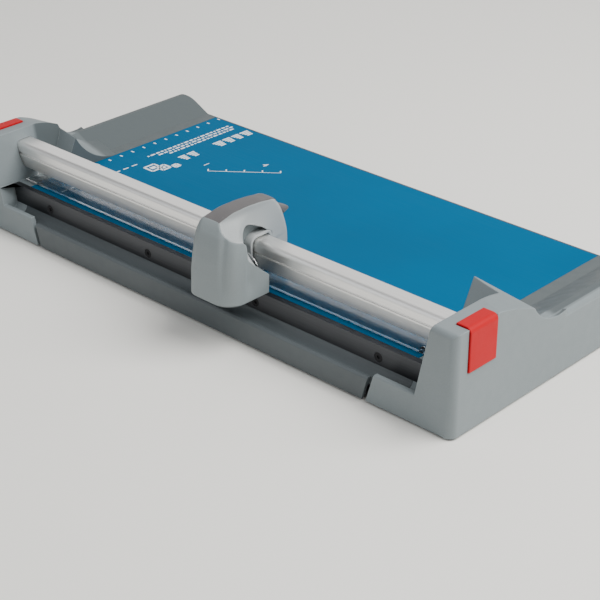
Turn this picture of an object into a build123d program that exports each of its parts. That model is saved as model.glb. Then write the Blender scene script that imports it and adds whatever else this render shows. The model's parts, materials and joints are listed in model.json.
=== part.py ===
from build123d import *
import os
from math import cos, pi

# Rotary paper trimmer. Millimetres, +Z up. X runs along the guide rail, +Y points to the back of the table.
# The origin is on the desk under the middle of the overall box. The cutting head stands where it was left,
# part of the way along its rail.

# ---------------------------------------------------------------- driving sizes
cut_length = 320.0          # table between the end caps
cap_width = 35.0            # each end cap, along the rail
base_depth = 180.0          # front to back, without the head
head_overhang = 19.0        # how far the cutting head stands out in front of the base
table_height = 30.0         # desk to table top
foot_height = 1.2           # the rubber feet lift the mouldings by this much
wall = 2.4                  # mouldings
seam_gap = 0.05             # between pieces that are clamped together
hole_gap = 0.1              # round a screw in its clearance hole
press_gap = 0.02            # round a pin in its pressed hole
knife_setback = 11.0        # front of the base to the cutting plane

# table and knife
plate_thickness = 1.2
plate_end_gap = 0.25
rear_lip = 1.0
knife_width = 4.0
knife_height = 12.0
knife_sink = 1.7            # depth of the counterbores for its screws
skirt_top = 15.5
skirt_lip = 2.6
skirt_end_gap = 3.0
chute_dip = 2.6
rib_count = 4
rib_thickness = 2.0
plate_bolt_radius = 1.5
plate_bolt_x = (-110.0, 0.0, 110.0)
plate_bolt_inset = 24.0

# end caps
cap_height = 61.5
cap_front_radius = 3.5
cap_corner_radius = 4.5
hump_flat_end = 44.5        # flat top of the cap on its inner side, from its front
hump_rim_end = 36.5         # flat top on its outer side
hump_left_shift = 9.0       # the left cap's hump ends this much nearer to the front
hump_ridge = 60.0           # ridge of the cap's inner side, from its front
hump_outer_fall = 66.0      # where the outer rim has dropped, from its front
hump_outer_drop = 9.5
hump_foot = 96.0            # where the hump runs out into the side rail, from its front
side_rail_height = 10.0     # paper guide rail beside the table, above the table
side_rail_top = 6.5         # its flat top width
guide_setback = 8.5         # flat ledge between table and paper guide
dock_depth = 12.1           # the recess that the head runs into, at table height
dock_lean = 0.208           # its wall leans outward by this much for each unit of height
dock_floor_drop = 0.2
dock_slope_foot = 43.0      # rear slope of the recess at table height, from the front
dock_slope_top = 59.2       # the same slope at the top of the cap
ledge_height = 18.6         # low front foot of the cap
ledge_reach = 23.0          # how far it reaches under the chute, from the cap's inner face
ledge_wall = 3.0

# guide rail
rail_setback = 9.0          # cutting plane to the rail's front face
rail_width = 12.0
rail_height = 17.0
rail_clear = 7.5            # table to the rail's underside
rail_undercut = 2.4
rail_wall = 1.8
rail_top_radius = 3.0
rail_back_radius = 1.2
rail_socket = 12.0          # how far the rail goes into each cap
rail_fit = 0.15
groove_height = 9.9         # centre of the front groove above the rail's underside
groove_width = 1.3
groove_depth = 1.0
plug_length = 14.0
plug_fit = 0.1

# clear clamp strip
strip_setback = 7.0         # cutting plane to the strip's front edge
strip_width = 15.5
strip_thickness = 1.4
strip_lift = 1.0
strip_travel = 0.9
strip_overrun = 8.0         # past the table's end, over the recess floor
pin_inset = 2.5             # from the table's end
pin_setback = 3.4           # from the strip's front edge
pin_radius = 1.1
pin_hole_gap = 0.35
pin_seat = 6.0              # depth below the table top
spring_radius = 2.2
spring_wire = 0.4
spring_fit = 0.35
spring_turns = 5
spring_from_end = 4.6
spring_seat_depth = 7.0
spring_setback = 11.0

# rail clips
clip_setback = 10.5         # front of the cap to the clip
clip_width = 22.5
clip_leg = 25.5
clip_top = 8.5
clip_thickness = 2.0
clip_proud = 1.0
clip_gap = 0.35
clip_bend = 3.4
clip_hook = 5.0
clip_travel = 24.0

# cutting head
head_rest_x = 37.0
head_margin = 6.5           # blade's rim to the head's sides
head_bottom = 1.9           # above the table
head_wall = 2.0
cover_depth = 31.0          # front cover, front to back
cover_left_radius = 6.0
cover_right_radius = 13.0
cover_lean = 6.0
cover_boss = 4.9            # length of the bosses for the cover's screws
cover_screw_low = 5.0       # lower one above the head's floor
cover_screw_high = 4.6      # upper one above the blade's centre
cover_screw_radius = 1.0
cover_screw_head = 1.8
cover_screw_head_length = 1.2
cover_screw_inset = 2.2     # from the cover's side wall
cover_screw_step = 0.3      # upper one further in than the lower one
cover_screw_tip = 0.4       # shank's end short of its boss's front
bridge_right = -2.6         # right side of the bridge over the rail, from the blade's centre
bridge_top_right = -1.2
bridge_top_left = -11.5
bridge_rear = 28.5          # rail's front face to the head's back
bridge_floor = 1.0          # the bridge's underside above the front cover's
bridge_waist = 11.0         # table to the lowest place of that back, where it turns in
bridge_tuck = 5.0           # how far its foot turns in, clear of the caps' slopes
crown_height = 48.3         # top of the head above the table
crown_front = 45.6
crown_rear = 43.6
inlay_thickness = 1.6
thumb_lip = 5.5
collar_gap = 0.9
collar_wall = 1.7
collar_right = -1.5
shoe_gap = 0.08

# blade and its axle
blade_radius = 12.0
blade_thickness = 0.75
blade_overlap = 1.8         # how far the blade dips below the table top
blade_gap = 0.1
blade_bevel = 0.45
dome_gap = 0.9              # round the blade, inside its cover
dome_wall = 1.6
dome_depth = 11.0
hub_bore_radius = 3.7
hub_flange_radius = 4.8
hub_front_radius = 5.4
hub_front_length = 2.0
hub_rear_length = 0.7
axle_radius = 2.5
axle_head_radius = 3.9
axle_head_length = 0.9
axle_fit = 0.06
bush_radius = 4.0
bush_length = 1.2
carrier_thickness = 3.0
carrier_half = 14.6
carrier_height = 9.0
carrier_screw_x = 11.0
washer_radius = 5.0
washer_length = 1.1
nut_radius = 4.6
nut_length = 3.0
axle_tail = 1.5

# fasteners and feet
screw_radius = 1.5
screw_head_radius = 2.8
screw_head_height = 1.5
foot_radius = 6.0
foot_inset = 14.0

# ---------------------------------------------------------------- places worked out from them
half_table = cut_length / 2
half_length = half_table + cap_width
front_y = (head_overhang - base_depth) / 2
back_y = front_y + base_depth
knife_y = front_y + knife_setback
underside = foot_height
rail_y = knife_y + rail_setback
rail_z = table_height + rail_clear
rail_top = rail_z + rail_height
rail_reach = half_table + dock_depth + rail_socket
strip_y = knife_y + strip_setback
strip_z = table_height + strip_lift
blade_z = table_height - blade_overlap + blade_radius
blade_back = knife_y - blade_gap
blade_front = blade_back - blade_thickness
head_floor = table_height + head_bottom
head_left = blade_radius + head_margin
head_right = blade_radius + head_margin
head_front = front_y - head_overhang
cover_back = head_front + cover_depth
skirt_half = half_table - ledge_reach - skirt_end_gap
pin_x = half_table - pin_inset
pin_y = strip_y + pin_setback
spring_x = half_table + spring_from_end
spring_y = strip_y + spring_setback


# ---------------------------------------------------------------- small helpers
def block(x0, x1, y0, y1, z0, z1):
    """A box between two corners."""
    return Pos(x0, y0, z0) * Box(x1 - x0, y1 - y0, z1 - z0, align=(Align.MIN, Align.MIN, Align.MIN))


def outline(*curves):
    """A face inside a closed chain of curves."""
    return make_face(Wire([edge for curve in curves for edge in curve.edges()]))


def polygon(points):
    """A face inside straight lines through the points."""
    return make_face(Polyline(*points, close=True))


def along_x(face, x0, x1):
    """Extrude a face drawn as (y, z) between two places on X."""
    return extrude(Plane.YZ.offset(x0) * face, x1 - x0)


def along_y(face, y0, y1):
    """Extrude a face drawn as (x, z) between two places on Y."""
    return extrude(Plane.XZ.offset(-y1) * face, y1 - y0)


def along_z(face, z0, z1):
    """Extrude a face drawn as (x, y) between two heights."""
    return extrude(Plane.XY.offset(z0) * face, z1 - z0)


def rod_y(radius, x, z, y0, y1):
    """A round bar along Y."""
    return along_y(Pos(x, z) * Circle(radius), y0, y1)


def rod_z(radius, x, y, z0, z1):
    """A round bar along Z."""
    return along_z(Pos(x, y) * Circle(radius), z0, z1)


def mirrored(shape):
    """The same piece at the other end of the trimmer."""
    return mirror(shape, about=Plane.YZ)


def save(shape, name):
    """Write one node."""
    export_step(shape, os.path.join("parts", name + ".step"))


# ---------------------------------------------------------------- guide rail
def rail_section(grow=0.0):
    """The rail's cross-section as (y, z), grown evenly by a clearance."""
    back = rail_y + rail_width
    face = polygon([
        (rail_y + rail_undercut, rail_z),
        (back, rail_z),
        (back, rail_top),
        (rail_y, rail_top),
        (rail_y, rail_z + rail_height / 2),
    ])
    corners = face.vertices()
    front_top = corners.sort_by(lambda v: v.Y - v.X)[-1]
    back_top = corners.sort_by(lambda v: v.Y + v.X)[-1]
    face = fillet(front_top, rail_top_radius)
    back_top = face.vertices().sort_by(lambda v: v.Y + v.X)[-1]
    face = fillet(back_top, rail_back_radius)
    if grow:
        face = offset(face, grow, kind=Kind.ARC)
    return face


def guide_rail():
    """Aluminium extrusion with one groove along its front and a hollow core."""
    core = offset(rail_section(), -rail_wall, kind=Kind.INTERSECTION)
    groove_z = rail_z + groove_height
    groove = Pos(rail_y + groove_depth / 2, groove_z) * Rectangle(groove_depth, groove_width)
    section = rail_section() - core - groove
    return along_x(section, -rail_reach, rail_reach)


def rail_plug():
    """Moulded plug in the right end of the rail, with a flange against the rail's end."""
    core = offset(rail_section(), -rail_wall - plug_fit, kind=Kind.INTERSECTION)
    flange = rail_section(-rail_fit)
    stem = along_x(core, rail_reach - plug_length, rail_reach)
    return stem + along_x(flange, rail_reach, rail_reach + wall)


# ---------------------------------------------------------------- base
def base_tray():
    """Grey moulded tray under the table, with the chute and skirt in front of the knife."""
    seat_y = knife_y + knife_width + seam_gap
    seat_z = table_height - knife_height - seam_gap
    plate_z = table_height - plate_thickness - seam_gap
    chute_start = (front_y + skirt_lip, skirt_top)
    chute_end = (knife_y, seat_z)
    chute_mid = ((chute_start[0] + chute_end[0]) / 2, (chute_start[1] + chute_end[1]) / 2 - chute_dip)
    lip_y = back_y - rear_lip
    body = outline(
        Polyline((front_y, underside), (front_y, skirt_top - 1), (front_y + 1, skirt_top), chute_start),
        ThreePointArc(chute_start, chute_mid, chute_end),
        Polyline(chute_end, (seat_y, seat_z), (seat_y, plate_z), (lip_y, plate_z), (lip_y, table_height),
                 (back_y, table_height), (back_y, underside), (front_y, underside)),
    )
    hollow = polygon([
        (front_y + wall, underside - 1),
        (front_y + wall, skirt_top - chute_dip - wall - 1),
        (knife_y - 1, seat_z - chute_dip - wall),
        (seat_y + wall, seat_z - wall),
        (seat_y + wall, plate_z - wall),
        (back_y - wall - 0.8, plate_z - wall),
        (back_y - wall - 0.8, underside - 1),
    ])
    end = half_table - seam_gap
    tray = along_x(body, -end, end) - along_x(hollow, -end + wall, end - wall)
    span = cut_length / (rib_count + 1)
    for index in range(rib_count):
        x = -half_table + span * (index + 1)
        rib = along_x(hollow, x - rib_thickness / 2, x + rib_thickness / 2)
        tray += rib & block(-end, end, front_y, back_y, underside + 3, table_height)
    foot_gap = seam_gap + ledge_wall
    lean = dock_lean + 0.07
    for side in (-1, 1):
        notch = polygon([
            (side * skirt_half, 0),
            (side * (half_table + 1), 0),
            (side * (half_table + 1), ledge_height + 1),
            (side * (skirt_half + lean * ledge_height), ledge_height + 1),
        ])
        tray -= along_y(notch, front_y - 1, front_y + foot_gap)
    for x in plate_bolt_x:
        for y in plate_bolt_rows():
            tray += rod_z(plate_bolt_radius + wall, x, y, underside + 4, plate_z)
            tray -= rod_z(plate_bolt_radius + hole_gap, x, y, 0, plate_z + 1)
    for x in knife_screw_x():
        tray -= rod_y(screw_radius + hole_gap, x, knife_screw_z(), knife_y, seat_y + 2 * wall)
    for side in (-1, 1):
        tray -= rod_z(pin_radius + press_gap, side * pin_x, pin_y, table_height - pin_seat - 2, table_height)
    return tray


def plate_bolt_rows():
    """Y of the two rows of table bolts."""
    return (rail_y + plate_bolt_inset, back_y - plate_bolt_inset)


def table_plate():
    """Painted steel table with the studs that hold it down."""
    end = half_table - plate_end_gap
    front = knife_y + knife_width + seam_gap
    plate = block(-end, end, front, back_y - rear_lip - seam_gap, table_height - plate_thickness, table_height)
    for side in (-1, 1):
        plate -= rod_z(pin_radius + press_gap, side * pin_x, pin_y, 0, table_height + 1)
    return plate


def plate_studs():
    """Six studs under the table, with the nuts that hold them from below."""
    pieces = []
    top = table_height - plate_thickness - seam_gap
    for x in plate_bolt_x:
        for y in plate_bolt_rows():
            stud = rod_z(plate_bolt_radius, x, y, underside + 2, top)
            nut = rod_z(plate_bolt_radius + 1.3, x, y, underside + 2, underside + 3.9)
            pieces.append(stud + nut)
    return Compound(children=pieces)


def knife_screw_x():
    """X of the screws through the knife."""
    return [half_table * share for share in (-0.85, -0.28, 0.28, 0.85)]


def knife_screw_z():
    """Height of the screws through the knife."""
    return table_height - 0.62 * knife_height


def lower_knife():
    """Ground steel bar: its top front edge is the fixed cutting edge."""
    end = half_table + dock_depth - 0.5
    bar = block(-end, end, knife_y, knife_y + knife_width, table_height - knife_height, table_height)
    for x in knife_screw_x():
        bar -= rod_y(screw_radius + hole_gap, x, knife_screw_z(), knife_y - 1, knife_y + knife_width + 1)
        bar -= rod_y(screw_head_radius + hole_gap, x, knife_screw_z(), knife_y - 1, knife_y + knife_sink)
    return bar


def knife_screws():
    """Four screws that hold the knife against the tray."""
    pieces = []
    for x in knife_screw_x():
        z = knife_screw_z()
        head = rod_y(screw_head_radius, x, z, knife_y + knife_sink - screw_head_height, knife_y + knife_sink)
        shank = rod_y(screw_radius, x, z, knife_y + screw_head_height, knife_y + knife_width + 2 * wall - 0.5)
        socket = extrude(Plane.XZ.offset(-knife_y - 1.1) * (Pos(x, z) * RegularPolygon(1.3, 6)), 2)
        pieces.append(head + shank - socket)
    return Compound(children=pieces)


def rubber_feet():
    """Four round feet pressed into the end caps."""
    pieces = []
    for side in (-1, 1):
        for y in (front_y + foot_inset, back_y - foot_inset):
            x = side * (half_length - cap_width / 2)
            pad = rod_z(foot_radius, x, y, 0, foot_height)
            stem = rod_z(foot_radius / 2, x, y, foot_height, foot_height + wall)
            pieces.append(pad + stem)
    return Compound(children=pieces)


# ---------------------------------------------------------------- end caps
def hump_face(x, ridge, flat_y, mid, foot):
    """One side outline of the cap's hump, as a face at the given X. Ridge, mid and foot are (y, z)."""
    crest = ((flat_y + ridge[0]) / 2, (cap_height + ridge[1]) / 2 + 1.0)
    round_z = cap_height - cap_front_radius
    round_y = front_y + cap_front_radius
    bulge = cap_front_radius * (1 - cos(pi / 4))
    chain = [
        Line((front_y, underside), (front_y, round_z)),
        ThreePointArc((front_y, round_z), (front_y + bulge, cap_height - bulge), (round_y, cap_height)),
        Line((round_y, cap_height), (flat_y, cap_height)),
        ThreePointArc((flat_y, cap_height), crest, ridge),
        ThreePointArc(ridge, mid, foot),
        Line(foot, (foot[0], underside)),
        Line((foot[0], underside), (front_y, underside)),
    ]
    return Plane.YZ.offset(x) * outline(*chain)


def cap_solid(shift):
    """The end cap before it is hollowed: hump in front, paper guide behind. Shift draws the hump forward."""
    rail_top_z = table_height + side_rail_height
    ridge = front_y + hump_ridge - shift
    fall = front_y + hump_outer_fall - shift
    foot_y = front_y + hump_foot - shift
    inner = hump_face(half_table, (ridge, cap_height - 0.8), front_y + hump_flat_end - shift,
                      (ridge + 9.5, table_height + 12.0), (foot_y, table_height))
    outer = hump_face(half_length, (fall, cap_height - hump_outer_drop), front_y + hump_rim_end,
                      (fall + 10.0, rail_top_z + 2.6), (foot_y, rail_top_z))
    hump = loft([inner, outer], ruled=True)
    inner_top = half_length - side_rail_top
    guide = along_y(polygon([
        (half_table, underside),
        (half_length, underside),
        (half_length, rail_top_z),
        (inner_top, rail_top_z),
        (half_table + guide_setback, table_height),
        (half_table, table_height),
    ]), front_y + hump_flat_end, back_y)
    guide = fillet(guide.edges().filter_by(Axis.X).group_by(Axis.Y)[-1].group_by(Axis.Z)[-1], 4.0)
    guide = fillet(guide.edges().filter_by(Axis.Z).group_by(Axis.Y)[-1].group_by(Axis.X)[-1], 5.0)
    plan = polygon([(half_table, front_y), (half_length, front_y), (half_length, back_y), (half_table, back_y)])
    corner = plan.vertices().sort_by(lambda v: v.X - v.Y)[-1]
    plan = fillet(corner, cap_corner_radius)
    return (hump + guide) & along_z(plan, underside, cap_height)


def dock_cut():
    """The recess in the cap that the cutting head runs into."""
    floor = table_height - dock_floor_drop
    wall_x = half_table + dock_depth
    top = cap_height + 2
    lean_face = polygon([
        (half_table - 1, floor),
        (wall_x, floor),
        (wall_x + dock_lean * (top - floor), top),
        (half_table - 1, top),
    ])
    slope_run = dock_slope_top - dock_slope_foot
    slope_top = front_y + dock_slope_foot + slope_run * (top - floor) / (cap_height - floor)
    side_face = polygon([
        (front_y - 1, floor),
        (front_y + dock_slope_foot, floor),
        (slope_top, top),
        (front_y - 1, top),
    ])
    recess = along_y(lean_face, front_y - 1, back_y) & along_x(side_face, half_table - 1, half_length)
    low_x = wall_x - dock_lean * (floor - ledge_height)
    chute = along_y(polygon([
        (half_table - 1, 0),
        (low_x, 0),
        (low_x, ledge_height),
        (wall_x, floor + 0.01),
        (half_table - 1, floor + 0.01),
    ]), front_y - 1, knife_y + knife_width + seam_gap)
    return recess + chute


def cap_ledge():
    """Low front foot of the cap: its wall reaches under the chute and ends in a slant."""
    low_x = half_table - ledge_reach
    lean = dock_lean + 0.07
    far = half_table + dock_depth + 1
    face = polygon([
        (low_x, underside),
        (far, underside),
        (far, ledge_height),
        (low_x + lean * ledge_height, ledge_height),
    ])
    foot = along_y(face, front_y, front_y + ledge_wall)
    top_edges = foot.edges().filter_by(Axis.X).group_by(Axis.Z)[-1].group_by(Axis.Y)[0]
    foot = fillet(top_edges, 1.0)
    floor = chute_floor_section()
    return foot + along_x(floor, half_table + seam_gap, far)


def chute_floor_section():
    """Floor of the chute inside the cap, in line with the tray's."""
    seat_z = table_height - knife_height - seam_gap
    start = (front_y + ledge_wall - 0.5, skirt_top)
    end = (knife_y + knife_width + seam_gap, seat_z)
    knee = (knife_y, seat_z)
    mid = ((start[0] + knee[0]) / 2, (start[1] + knee[1]) / 2 - chute_dip)
    return outline(
        ThreePointArc(start, mid, knee),
        Polyline(knee, end, (end[0], underside), (start[0], underside), start),
    )


def cap_hollows():
    """Pockets moulded into the cap from below."""
    inner = half_table + wall
    outer = half_length - wall
    behind_dock = half_table + dock_depth + wall + dock_lean * (cap_height - table_height)
    socket_front = rail_y - wall - 1
    socket_back = rail_y + rail_width + wall + 1
    top = cap_height - wall
    front = block(behind_dock, outer, front_y + wall, socket_front, 0, top - 1)
    middle = block(inner + dock_depth, outer, socket_front + wall, socket_back - wall, 0, rail_z - wall - 1)
    rear_block = block(behind_dock, outer, socket_back, front_y + hump_flat_end - 2, 0, top - 4)
    under_guide = block(inner, outer, front_y + hump_ridge + 4, back_y - wall, 0, table_height - wall)
    dock_under = block(inner, inner + dock_depth, knife_y + knife_width + wall, strip_y + 6, 0, table_height - 10)
    return front + middle + rear_block + under_guide + dock_under


def end_cap(shift=0.0):
    """End cap drawn at the right end: one moulding, hollow below, with the rail's socket and clip's recess."""
    cap = cap_solid(shift) - dock_cut() + cap_ledge()
    cap -= cap_hollows()
    cap -= along_x(rail_section(rail_fit), half_table - 1, rail_reach + wall + rail_fit)
    cap -= clip_room()
    spring_floor = table_height - spring_seat_depth
    cap -= rod_z(spring_radius + spring_fit, spring_x, spring_y, spring_floor, table_height + 1)
    boss_top = table_height - wall + 0.5
    for x, y in cap_screw_places():
        cap += rod_z(screw_radius + wall, x, y, underside + 4, boss_top)
        cap -= rod_z(screw_radius + hole_gap, x, y, 0, underside + 10)
    for y in (front_y + foot_inset, back_y - foot_inset):
        x = half_length - cap_width / 2
        cap += rod_z(foot_radius, x, y, underside, boss_top)
        cap -= rod_z(foot_radius / 2 + 0.05, x, y, 0, underside + wall + 0.1)
    knife_room = block(half_table - 1, half_table + dock_depth - 0.2, knife_y - 0.01,
                       knife_y + knife_width + seam_gap, table_height - knife_height - seam_gap, table_height + 1)
    return cap - knife_room


def cap_screw_places():
    """X and Y of the two screws under the right cap."""
    x = half_table + 9.0
    return ((x, front_y + hump_ridge + 12), (x, back_y - 26))


def cap_screws():
    """Screws up into both end caps."""
    pieces = []
    for side in (-1, 1):
        for x, y in cap_screw_places():
            head = rod_z(screw_head_radius, side * x, y, underside + 2.4, underside + 4)
            shank = rod_z(screw_radius, side * x, y, underside + 4, underside + 9)
            pieces.append(head + shank)
    return Compound(children=pieces)


# ---------------------------------------------------------------- rail clip
def clip_section(grow=0.0):
    """L-shaped clip as (x, z): over the cap's top edge and down its outer face."""
    outer_x = half_length + clip_proud
    top_z = cap_height + clip_proud
    inner_x = outer_x - clip_thickness
    low_z = top_z - clip_leg
    left_x = half_length - clip_top
    hook_z = top_z - clip_thickness
    points = [
        (left_x - grow, top_z + grow),
        (outer_x + grow, top_z + grow),
        (outer_x + grow, low_z - grow),
        (inner_x - grow, low_z - grow),
        (inner_x - grow, hook_z - grow),
        (left_x - grow, hook_z - grow),
    ]
    return polygon(points)


def clip_room():
    """Recess in the cap that the clip lies in."""
    y0 = front_y + clip_setback - clip_gap
    y1 = front_y + clip_setback + clip_width + clip_gap
    return along_y(clip_section(clip_gap), y0, y1)


def rail_clip():
    """Red clip over the right cap's top edge."""
    y0 = front_y + clip_setback
    clip = along_y(clip_section(), y0, y0 + clip_width)
    along = clip.edges().filter_by(Axis.Y)
    outer = along.sort_by(lambda e: e.center().X + e.center().Z)[-1]
    clip = fillet(outer, clip_bend)
    rims = clip.faces().sort_by(Axis.X)[-1].edges().filter_by(Axis.Z)
    return fillet(rims, 0.5)


# ---------------------------------------------------------------- clamp strip
def clamp_strip():
    """Clear strip under the rail that holds the sheet down beside the cut."""
    end = half_table + strip_overrun
    strip = block(-end, end, strip_y, strip_y + strip_width, strip_z, strip_z + strip_thickness)
    for side in (-1, 1):
        strip -= rod_z(pin_radius + pin_hole_gap, side * pin_x, pin_y, 0, table_height + 20)
    return strip


def strip_pins():
    """Black pins that guide the strip's two ends, level with its top so that the head clears them."""
    pieces = []
    for side in (-1, 1):
        pin = rod_z(pin_radius, side * pin_x, pin_y, table_height - pin_seat, strip_z + strip_thickness)
        pieces.append(pin)
    return Compound(children=pieces)


def strip_spring():
    """Small coil spring that lifts the strip's right end."""
    height = strip_z - seam_gap - (table_height - spring_seat_depth) - 2 * spring_wire
    coil = Helix(pitch=height / spring_turns, height=height, radius=spring_radius - spring_wire)
    start = coil @ 0
    profile = Plane(origin=start, z_dir=coil % 0) * Circle(spring_wire)
    spring = sweep(profile, path=coil, is_frenet=True)
    return Pos(spring_x, spring_y, table_height - spring_seat_depth + spring_wire) * spring


# ---------------------------------------------------------------- cutting head
def crown_arc(drop=0.0):
    """Top line of the head, front to back, lowered by a thickness."""
    start = (head_front + 8.0, table_height + crown_front - drop)
    mid = (head_front + 30.0, table_height + crown_height - drop)
    end = (head_front + 56.0, table_height + crown_rear - drop)
    return start, mid, end


def cover_rim():
    """Slanted rear edge of the front cover, from the crown down to the table, as (y, z)."""
    return [
        (head_front + 8.0, table_height + crown_front - inlay_thickness),
        (head_front + 14.0, table_height + 37.6),
        (head_front + 18.0, table_height + 30.0),
        (head_front + 22.0, table_height + 21.0),
        (cover_back, table_height + 16.0),
    ]


def cover_side(shrink=0.0):
    """Side view of the front cover as (y, z)."""
    front = head_front + shrink
    crown_z = table_height + crown_front - inlay_thickness - shrink
    brow_y = head_front + cover_lean + shrink / 2
    return outline(
        Polyline((front, head_floor - 1), (front + 0.5, table_height + 16)),
        ThreePointArc((front + 0.5, table_height + 16), (front + 2.2, table_height + 34), (brow_y, crown_z)),
        Polyline((brow_y, crown_z), *[(y, z - shrink) for y, z in cover_rim()],
                 (cover_back, head_floor - 1), (front, head_floor - 1)),
    )


def cover_front(shrink=0.0):
    """Front view of the front cover as (x, z), from the blade's centre."""
    left = -head_left + shrink
    right = head_right - shrink
    z = table_height - shrink
    return polygon([
        (left, head_floor - 1),
        (right, head_floor - 1),
        (right - 0.2, z + 30),
        (right - 1.0, z + 37.6),
        (right - 7.0, z + 40.5),
        (right - 11.0, z + 42.7),
        (bridge_top_right + 3.0 - shrink, z + 46.5),
        (bridge_top_left + shrink, z + 46.5),
        (left + 5.5, z + 42),
        (left + 3.0, z + 30),
        (left + 0.8, z + 14),
    ])


def cover_plan(shrink=0.0):
    """Plan of the front cover as (x, y), from the blade's centre."""
    left = -head_left + shrink
    right = head_right - shrink
    front = head_front + shrink
    face = polygon([(left, front), (right, front), (right, cover_back), (left, cover_back)])
    corners = face.vertices().group_by(Axis.Y)[0].sort_by(Axis.X)
    face = fillet(corners[0], cover_left_radius - shrink)
    corner = face.vertices().sort_by(lambda v: v.X - v.Y)[-1]
    return fillet(corner, cover_right_radius - shrink)


def cover_volume(shrink=0.0, floor=0.0):
    """Front cover's outer or inner volume."""
    top = table_height + crown_height
    solid = along_z(cover_plan(shrink), head_floor - floor, top)
    solid &= along_y(cover_front(shrink), head_front, cover_back)
    return solid & along_x(cover_side(shrink), -head_left, head_right)


def dome(grow=0.0):
    """Round housing over the blade, at the back of the front cover."""
    return rod_y(blade_radius + dome_gap + grow, 0, blade_z, cover_back - dome_depth, cover_back)


def cover_screw_places():
    """X and Z of the two screws between cover and bridge, from the blade's centre."""
    x = -head_left + head_wall + cover_screw_inset
    return ((x, head_floor + cover_screw_low), (x + cover_screw_step, blade_z + cover_screw_high))


def cover_screw_seat():
    """Y of the bridge face that the cover screws' heads sit on."""
    return cover_back + seam_gap + head_wall + seam_gap


def head_front_cover():
    """Front shell of the head, over the blade, with bosses for the carrier and the bridge."""
    above_floor = block(-head_left, head_right, head_front, cover_back, head_floor, table_height + crown_height)
    shell = cover_volume() + (dome(dome_wall) & above_floor)
    shell -= cover_volume(head_wall, 1.0)
    shell -= rod_y(blade_radius + dome_gap, 0, blade_z, cover_back - dome_depth + dome_wall, cover_back + 1)
    shell -= block(-blade_radius, blade_radius, head_front + 4, cover_back + 1, 0, head_floor + 1.0)
    skin = cover_volume()
    for x in (-carrier_screw_x, carrier_screw_x):
        boss = rod_y(screw_radius + 1.2, x, blade_z, head_front, axle_stack()["carrier"] - seam_gap)
        shell += boss & skin
        shell -= rod_y(screw_radius - 0.3, x, blade_z, head_front + 2 * head_wall + 4, cover_back)
    for x, z in cover_screw_places():
        shell += rod_y(2.2 * cover_screw_radius, x, z, cover_back - cover_boss, cover_back) & skin
        shell -= rod_y(cover_screw_radius + seam_gap, x, z, cover_back - cover_boss - 1, cover_back + 1)
    return Pos(head_rest_x, 0, 0) * shell


def bridge_side(shrink=0.0):
    """Side view of the bridge over the rail as (y, z)."""
    start, mid, end = crown_arc(inlay_thickness + shrink)
    back = rail_y + bridge_rear - shrink
    floor = head_floor + bridge_floor + shrink
    front = cover_back + seam_gap + shrink
    waist = (back, table_height + bridge_waist)
    rim = [(y + seam_gap + shrink, z) for y, z in cover_rim()]
    top = (rim[0][0], start[1])
    return outline(
        ThreePointArc(top, mid, end),
        ThreePointArc(end, (back - 2.3, table_height + 23), waist),
        Polyline(waist, (back - bridge_tuck, floor), (front, floor), (front, rim[-1][1]),
                 *reversed(rim[1:-1]), top),
    )


def bridge_front(shrink=0.0):
    """Front view of the bridge as (x, z), from the blade's centre."""
    top = table_height + crown_height + 1
    return polygon([
        (-head_left + 0.2 + shrink, head_floor),
        (bridge_right - shrink, head_floor),
        (bridge_right - shrink, table_height + 24),
        (bridge_top_right - shrink, top),
        (bridge_top_left + shrink, top),
        (-head_left + 3.2 + shrink, table_height + 30),
    ])


def bridge_volume(shrink=0.0):
    """Outer or inner volume of the bridge, clear of the round housing."""
    solid = along_x(bridge_side(shrink), -head_left, head_right)
    return solid & along_y(bridge_front(shrink), head_front, back_y)


def head_bridge():
    """Rear shell of the head: crosses over the rail and wraps round its back."""
    collar_outer = collar_gap + collar_wall
    shell = bridge_volume() - bridge_volume(head_wall)
    saddle = along_x(rail_section(collar_outer + head_wall), -head_left, bridge_right) & bridge_volume()
    shell += saddle
    shell -= along_x(rail_section(collar_outer + press_gap), -head_left - 1, head_right)
    shell -= dome(dome_wall + seam_gap)
    axle_end = axle_seat() + axle_head_length
    shell -= rod_y(axle_head_radius + hole_gap, 0, blade_z, cover_back - 1, axle_end + hole_gap)
    for x, z in cover_screw_places():
        head_end = cover_screw_seat() + cover_screw_head_length + hole_gap
        shell -= rod_y(cover_screw_radius + hole_gap, x, z, cover_back - cover_boss, head_end)
        shell -= rod_y(cover_screw_head + hole_gap, x, z, cover_back + head_wall, head_end)
    return Pos(head_rest_x, 0, 0) * shell


def rail_collar():
    """Light ring round the rail, seated in the bridge."""
    ring = rail_section(collar_gap + collar_wall) - rail_section(collar_gap)
    return Pos(head_rest_x, 0, 0) * along_x(ring, -head_left - 0.2, collar_right)


def slide_shoes():
    """Four low-friction pads between the collar and the rail's flat faces."""
    x0 = head_rest_x - head_left + 1.0
    x1 = head_rest_x + bridge_right - 1.0
    back = rail_y + rail_width
    in_gap = collar_gap - seam_gap
    mid_y = rail_y + rail_width / 2
    top = block(x0, x1, mid_y - 2, mid_y + 3, rail_top + shoe_gap, rail_top + in_gap)
    bottom = block(x0, x1, mid_y - 1, mid_y + 4, rail_z - in_gap, rail_z - shoe_gap)
    rear = block(x0, x1, back + shoe_gap, back + in_gap, rail_z + 3, rail_top - 4)
    front_z = rail_z + rail_height / 2
    front = block(x0, x1, rail_y - in_gap, rail_y - shoe_gap, front_z + 3, rail_top - 3.5)
    return Compound(children=[top, bottom, rear, front])


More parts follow.
